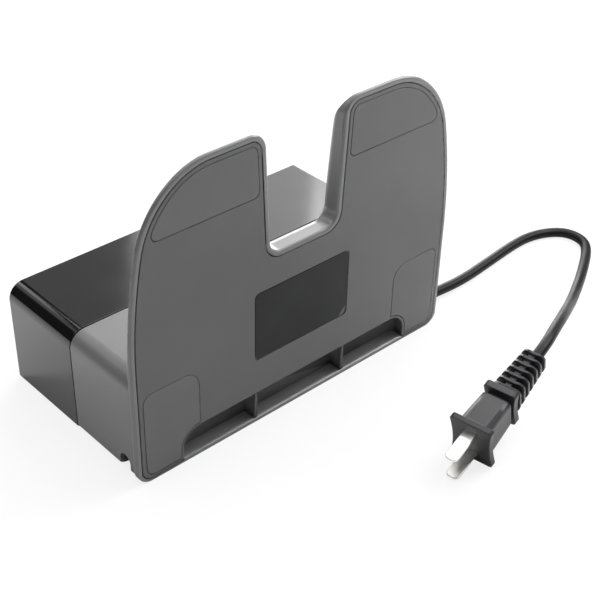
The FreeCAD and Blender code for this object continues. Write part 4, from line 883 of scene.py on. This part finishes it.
@dataclass
class Studio:
    """The camera at the photograph's angle, the white floor and the soft lights.

    The world's strength is fill where it lights and mirrored_world where it is reflected. To the
    camera, floor_glow is the share of the floor's white that no shadow dims.
    """

    eye: Point = (-0.31010, -0.37687, 0.37240)
    right: Point = (0.737946, -0.674526, 0.021216)
    down: Point = (-0.375382, -0.436395, -0.817709)
    forward: Point = (0.560825, 0.595461, -0.575241)
    lens: float = 74.54
    sensor_width: float = 36.0
    nearest: float = 0.01
    floor_reach: float = 4.0
    paper: str = "d4d4d4"
    bright_paper: Colour = (0.98, 0.98, 0.98, 1.0)
    fill: float = 0.06
    mirrored_world: float = 0.06
    floor_glow: float = 0.8
    aim: Point = (0.03, 0.0, 0.06)
    softboxes: tuple[Softbox, ...] = (
        Softbox(45, 8, 7.9, 0.68, 0.5),
        Softbox(315, 8, 0.7, 0.68, 0.5),
        Softbox(22, 32, 1.1, 0.29, 0.52),
        Softbox(38, 32, 4.4, 0.29, 0.52),
        Softbox(52, 32, 2.2, 0.29, 0.52),
        Softbox(65, 31, 0.5, 0.29, 0.42),
        Softbox(97, 32, 2.2, 0.29, 0.52),
        Softbox(112, 32, 0.7, 0.29, 0.52),
        Softbox(285, 32, 0.7, 0.6, 0.52),
        Softbox(345, 32, 4.2, 0.6, 0.52),
        Softbox(15, 54, 1.4),
        Softbox(45, 54, 6.5),
        Softbox(75, 54, 2.3),
        Softbox(135, 54, 3.3),
        Softbox(165, 54, 5.0),
        Softbox(255, 54, 3.0),
        Softbox(315, 54, 2.2),
        Softbox(345, 54, 2.2),
        Softbox(0, 89, 2.6, 0.6, 0.6),
        Softbox(330, 40, 2.6, 0.25, 0.25, 0.5),
        Softbox(350, 45, 4.2, 0.25, 0.25, 0.5),
    )

    def place_camera(self) -> None:
        """Puts the camera where the photograph was taken from."""
        data = bpy.data.cameras.new("Photograph")
        data.sensor_width = self.sensor_width
        data.lens = self.lens
        data.clip_start = self.nearest
        camera = put("Photograph", data)
        axes = (Vector(self.right), -Vector(self.down), -Vector(self.forward))
        turn = Matrix([[axis[row] for axis in axes] for row in range(3)])
        camera.matrix_world = Matrix.Translation(Vector(self.eye)) @ turn.to_4x4()
        bpy.context.scene.camera = camera

    def lay_floor(self) -> None:
        """Lays the floor: plain paper to the lamps' light, brighter to the camera and in mirrors."""
        reach = self.floor_reach
        mesh = bpy.data.meshes.new("floor")
        corners = [(-reach, -reach, 0), (reach, -reach, 0), (reach, reach, 0), (-reach, reach, 0)]
        mesh.from_pydata(corners, [], [(0, 1, 2, 3)])
        material = bpy.data.materials.new("White floor")
        graph = empty_graph(material)
        paper = graph.add("ShaderNodeBsdfDiffuse", {"Color": linear(self.paper)})
        bright = graph.add("ShaderNodeBsdfDiffuse", {"Color": self.bright_paper})
        light = graph.add("ShaderNodeLightPath")
        lit = graph.blend(graph.mirrored(light), paper, bright)
        faced = graph.blend(self.floor_glow, bright, graph.add("ShaderNodeEmission"))
        shown = graph.blend(light.outputs["Is Camera Ray"], lit, faced)
        graph.add("ShaderNodeOutputMaterial", {"Surface": shown})
        mesh.materials.append(material)
        put("White_floor", mesh)

    def hang_lights(self) -> None:
        """Hangs the softboxes, each aimed at the dock."""
        aim = Vector(self.aim)
        for box in self.softboxes:
            name = "Softbox %g %g" % (box.azimuth, box.elevation)
            data = bpy.data.lights.new(name, "AREA")
            data.shape = "RECTANGLE"
            data.size = box.width
            data.size_y = box.height
            data.energy = math.pi * box.width * box.height * box.glow
            up = math.radians(box.elevation)
            around = math.radians(box.azimuth)
            level = math.cos(up)
            away = Vector((level * math.cos(around), level * math.sin(around), math.sin(up)))
            lamp = put(name.replace(" ", "_"), data)
            lamp.location = aim + away * box.distance
            lamp.rotation_mode = "QUATERNION"
            lamp.rotation_quaternion = (-away).to_track_quat("-Z", "Y")

    def fill_world(self) -> None:
        """Sets the world: white to the camera, pale in reflections, and an even fill elsewhere."""
        world = bpy.data.worlds.new("Paper white")
        bpy.context.scene.world = world
        graph = empty_graph(world)
        light = graph.add("ShaderNodeLightPath")
        faced = graph.math("MULTIPLY", light.outputs["Is Camera Ray"], 1.0 - self.fill)
        bounced = graph.math("MULTIPLY", graph.mirrored(light), self.mirrored_world - self.fill)
        strength = graph.math("ADD", self.fill, graph.math("ADD", faced, bounced))
        back = graph.add("ShaderNodeBackground", {"Color": WHITE, "Strength": strength})
        graph.add("ShaderNodeOutputWorld", {"Surface": back})

    def build(self) -> None:
        """Sets the whole studio up."""
        bpy.context.scene.view_settings.view_transform = "Standard"
        self.place_camera()
        self.lay_floor()
        self.hang_lights()
        self.fill_world()
        log.info("studio: camera, floor and %d softboxes", len(self.softboxes))


@dataclass
class MainsCord:
    """The flat twin cord, from its clamp in the dock to the plug's boot.

    Its route is the one that the dock's drawing gives, laid a little lower because the flat cord
    is thinner than it is wide. Each lobe of its section keeps only a share of its arc, so that
    no two points of the outline meet in the grooves.
    """

    width: float = 5.6
    lobe_radius: float = 2.5
    lobe_steps: int = 9
    lobe_share: float = 0.94
    sharp_turn: float = 50.0
    curve_steps: int = 16
    length: float = 302.7
    exit: Point = (90.6, 13.1, 5.2)
    route: tuple[Point, ...] = (
        (73.1, 13.1, 5.2),
        (96.6, 13.1, 5.2),
        (126.6, 12.6, 2.6),
        (154.6, 15.3, 2.6),
        (173.6, 17.2, 2.6),
        (188.6, 17.4, 2.6),
        (201.4, 13.4, 2.6),
        (209.8, 5.8, 2.6),
        (210.2, -5.0, 2.6),
        (203.4, -13.0, 2.6),
        (183.6, -24.6, 2.6),
        (166.1, -33.7, 4.1),
        (149.3, -42.4, 8.6),
        (132.1, -51.2, 16.0),
        (115.5, -59.5, 22.8),
        (101.0, -65.9, 26.6),
        (88.0, -71.1, 27.5),
        (78.4, -72.8, 25.1),
    )

    def centreline(self) -> list[Vector]:
        """Reads the points of the route's own smooth spline."""
        data = bpy.data.curves.new("cord_line", "CURVE")
        data.dimensions = "3D"
        data.resolution_u = self.curve_steps
        spline = data.splines.new("NURBS")
        spline.points.add(len(self.route) - 1)
        for place, point in zip(spline.points, self.route):
            place.co = (*at(*point), 1.0)
        spline.order_u = 3
        spline.use_endpoint_u = True
        carrier = put("cord_line", data)
        mesh = evaluated_mesh(carrier)
        points = [v.co.copy() for v in mesh.vertices]
        bpy.data.objects.remove(carrier)
        return points

    def outline(self) -> list[Vector]:
        """Gives the section's outline: two round lobes that meet in a groove on either side."""
        middle = self.width / 2.0 - self.lobe_radius
        open_angle = math.pi - math.acos(middle / self.lobe_radius)
        points = []
        for side in (1, -1):
            for i in range(self.lobe_steps + 1):
                turn = (-open_angle + 2.0 * open_angle * i / self.lobe_steps) * self.lobe_share
                x = side * (middle + self.lobe_radius * math.cos(turn))
                y = side * self.lobe_radius * math.sin(turn)
                points.append(Vector((x, y, 0.0)) * MILLIMETRE)
        return points

    def sweep_tree(self) -> bpy.types.NodeTree:
        """Builds the tree that carries an outline along a path, with its width kept level."""
        tree = GeometryTree("Level sweep")
        path = tree.graph.add("GeometryNodeMeshToCurve", {"Mesh": tree.given["Geometry"]})
        level = tree.graph.add("GeometryNodeSetCurveNormal", {"Curve": path}, mode="Z_UP")
        ring = tree.graph.add("GeometryNodeMeshToCurve", {"Mesh": tree.item})
        feeds = {"Curve": level, "Profile Curve": ring, "Fill Caps": True}
        sweep = tree.graph.add("GeometryNodeCurveToMesh", feeds)
        return tree.close(tree.graph.add("GeometryNodeSetShadeSmooth", {"Geometry": sweep}))

    def build(self, shop: Workshop, end_pieces: list[bpy.types.Object]) -> None:
        """Args:
            shop: The workshop.
            end_pieces: The plug's pieces. Not used.
        """
        points = self.centreline()
        mesh = run_tree(
            "cord_sweep",
            path_mesh("cord_path", points),
            self.sweep_tree(),
            path_mesh("cord_outline", self.outline(), closed=True),
            shop.finish(Slot.CORD),
        )
        work = bmesh.new()
        work.from_mesh(mesh)
        bmesh.ops.recalc_face_normals(work, faces=work.faces)
        work.to_mesh(mesh)
        work.free()
        mesh.set_sharp_from_angle(angle=math.radians(self.sharp_turn))
        cord = shop.add("mains_cord_dressed", mesh, Slot.CORD)
        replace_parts(cord, "mains_cord")
        tuple(at(*self.exit))
        [tuple(p) for p in points]


@dataclass
class Plug:
    """The two-blade plug: its moulding and its blades."""

    moulding: str = "plug_moulding"
    blades: tuple[str, ...] = ("plug_blade_upper", "plug_blade_lower")
    smooth_turn: float = 38.0

    def build(self, shop: Workshop) -> list[bpy.types.Object]:
        """Builds the plug's pieces and gives them."""
        moulding = shop.replace(self.moulding, angle=self.smooth_turn)
        return [moulding] + [shop.replace(blade) for blade in self.blades]


@dataclass
class Housing:
    """The grey lower shell, the black tower cover and the plate that closes the underside.

    The ramp is thinner at its tips and its edge than on the drawing. Each pair in tip_drops is a
    height above the back wall and how far the ramp's top comes down there.
    """

    shell: str = "base_shell"
    others: tuple[str, ...] = ("tower_cover", "bottom_cover")
    ramp_height: float = 11.0
    seat_height: float = 2.4
    fixed_height: float = 1.32
    edge_height: float = 2.2
    edge_drop: float = 0.8
    edge_blend: float = 6.0
    edge_start: tuple[float, float] = (62.0, 78.0)
    tip_drops: tuple[tuple[float, float], ...] = (
        (104.0, 0.0), (117.0, 0.6), (129.0, 1.3), (137.0, 2.1), (146.5, 1.7),
    )
    slice_pitch: float = 4.0
    clear: float = 0.05

    def tip_drop(self, z: float) -> float:
        """Reads how far the ramp's top comes down.

        Args:
            z: The height above the back wall, in millimetres.
        """
        for (low, first), (high, second) in zip(self.tip_drops, self.tip_drops[1:]):
            if low <= z <= high:
                return first + (second - first) * (z - low) / (high - low)
        return 0.0 if z < self.tip_drops[0][0] else self.tip_drops[-1][1]

    def thin_ramp(self, work: bmesh.types.BMesh) -> None:
        """Slices the ramp across and brings its top and its edge down towards the underside.

        Args:
            work: The shell's joined mesh.
        """
        start, full = self.edge_start
        z = start
        while z < self.tip_drops[-1][0]:
            parts = work.verts[:] + work.edges[:] + work.faces[:]
            bmesh.ops.bisect_plane(
                work, geom=parts, plane_co=at(0.0, 0.0, z), plane_no=UP,
                dist=SLICE_TOLERANCE * MILLIMETRE,
            )
            z += self.slice_pitch
        work.normal_update()
        skin = BVHTree.FromBMesh(work)
        drops = {}
        for vertex in work.verts:
            y = vertex.co.y / MILLIMETRE + MIDDLE_HEIGHT
            z = vertex.co.z / MILLIMETRE
            if z <= start or y <= self.fixed_height:
                continue
            share = max(0.0, (y - self.seat_height) / (self.ramp_height - self.seat_height))
            drop = self.tip_drop(z) * min(1.0, share)
            outside = vertex.co + vertex.normal * self.clear * MILLIMETRE
            above = skin.ray_cast(outside, ACROSS)[0]
            if above is None:
                near = max(0.0, 1.0 - max(0.0, y - self.edge_height) / self.edge_blend)
                drop += self.edge_drop * near * min(1.0, (z - start) / (full - start))
            drops[vertex] = drop
        for vertex, drop in drops.items():
            vertex.co.y -= drop * MILLIMETRE

    def build(self, shop: Workshop) -> None:
        """Builds the housing's pieces.

        Args:
            shop: The workshop.
        """
        shop.replace(self.shell, reshape=self.thin_ramp)
        for node in self.others:
            shop.replace(node)


@dataclass
class Underside:
    """The foot pads and the bare rating label, in their recesses."""

    pads: tuple[str, ...] = ("front_pad_left", "front_pad_right", "back_pad_left", "back_pad_right")
    label: str = "rating_label"

    def build(self, shop: Workshop) -> None:
        """Builds the pads and the label."""
        for node in (*self.pads, self.label):
            shop.replace(node)


@dataclass
class ChargingContacts:
    """The two sprung contacts, with their guides and the leaf springs below them."""

    sides: tuple[str, ...] = ("left", "right")
    travel: float = 2.0
    spring_floor: float = 3.3
    spring_height: float = 9.1

    def build(self, shop: Workshop) -> None:
        """Builds both contacts, each on its own body, with their guides and springs.

        Args:
            shop: The workshop.
        """
        for side in self.sides:
            shop.replace("contact_" + side, "contact_" + side)
            shop.dress("contact_guide_" + side)
            spring = shop.replace("contact_spring_" + side)
            centre = sum(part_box("contact_spring_" + side), Vector()) / 2.0
            foot = Vector((centre.x, at(0, self.spring_floor, 0).y, centre.z))
            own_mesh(spring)


@dataclass
class Fasteners:
    """The screws, one row of like ones for each piece that they hold."""

    rows: tuple[str, ...] = (
        "cover_screws", "tower_screws", "board_screws", "beacon_screws", "clamp_screws",
    )

    def middle(self, screw: list[bmesh.types.BMVert]) -> Vector:
        """Gives the middle of a screw's box.

        Args:
            screw: The screw's vertices.
        """
        low = Vector([min(vertex.co[axis] for vertex in screw) for axis in range(3)])
        high = Vector([max(vertex.co[axis] for vertex in screw) for axis in range(3)])
        return (low + high) / 2.0

    def row_tree(self) -> bpy.types.NodeTree:
        """Builds the tree that sets one fastener at every point of a mesh."""
        tree = GeometryTree("Fastener row")
        places = tree.graph.add("GeometryNodeMeshToPoints", {"Mesh": tree.given["Geometry"]})
        feeds = {"Points": places, "Instance": tree.item}
        return tree.close(tree.graph.add("GeometryNodeInstanceOnPoints", feeds))

    def build(self, shop: Workshop) -> None:
        """Builds every row and lets it stand for its node.

        Args:
            shop: The workshop.
        """
        tree = self.row_tree()
        for node in self.rows:
            work = shop.joined(node)
            screws = groups(work.verts, edge_mates)
            middles = [self.middle(screw) for screw in screws]
            spare = [vertex for screw in screws[1:] for vertex in screw]
            for vertex in screws[0]:
                vertex.co -= middles[0]
            bmesh.ops.delete(work, geom=spare, context="VERTS")
            row = run_tree(
                node + "_row",
                path_mesh(node + "_places", middles, linked=False),
                tree,
                plain_mesh(node + "_screw", work),
                shop.finish(shop.slots[node]),
            )
            shade_evenly(row, SMOOTH_TURN)
            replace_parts(shop.add(node + "_dressed", row, shop.slots[node]), node)


@dataclass
class Inside:
    """What the closed housing holds: boards, what they carry, leads and clamp."""

    pieces: tuple[str, ...] = (
        "mains_board", "transformer_core", "transformer_winding", "smoothing_capacitor",
        "filter_capacitor", "mains_fuse", "fuse_clips", "mains_terminal", "output_terminal",
        "beacon_board", "beacon_emitters", "beacon_baffle", "indicator_lamp",
        "cord_clamp", "mains_leads", "contact_leads", "beacon_lead",
    )

    def build(self, shop: Workshop) -> None:
        """Dresses every inner piece, and smooths the power light that shows in the front.

        Args:
            shop: The workshop.
        """
        for node in self.pieces:
            shop.dress(node)
        shop.replace("power_light")


def main() -> None:
    """Builds the dock and its studio."""
    logging.basicConfig(level=logging.INFO, format="%(name)s %(message)s")
    shop = Workshop(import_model())
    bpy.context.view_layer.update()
    Studio().build()
    end_pieces = Plug().build(shop)
    MainsCord().build(shop, end_pieces)
    Housing().build(shop)
    Underside().build(shop)
    ChargingContacts().build(shop)
    Fasteners().build(shop)
    Inside().build(shop)


if __name__ == "__main__":
    main()
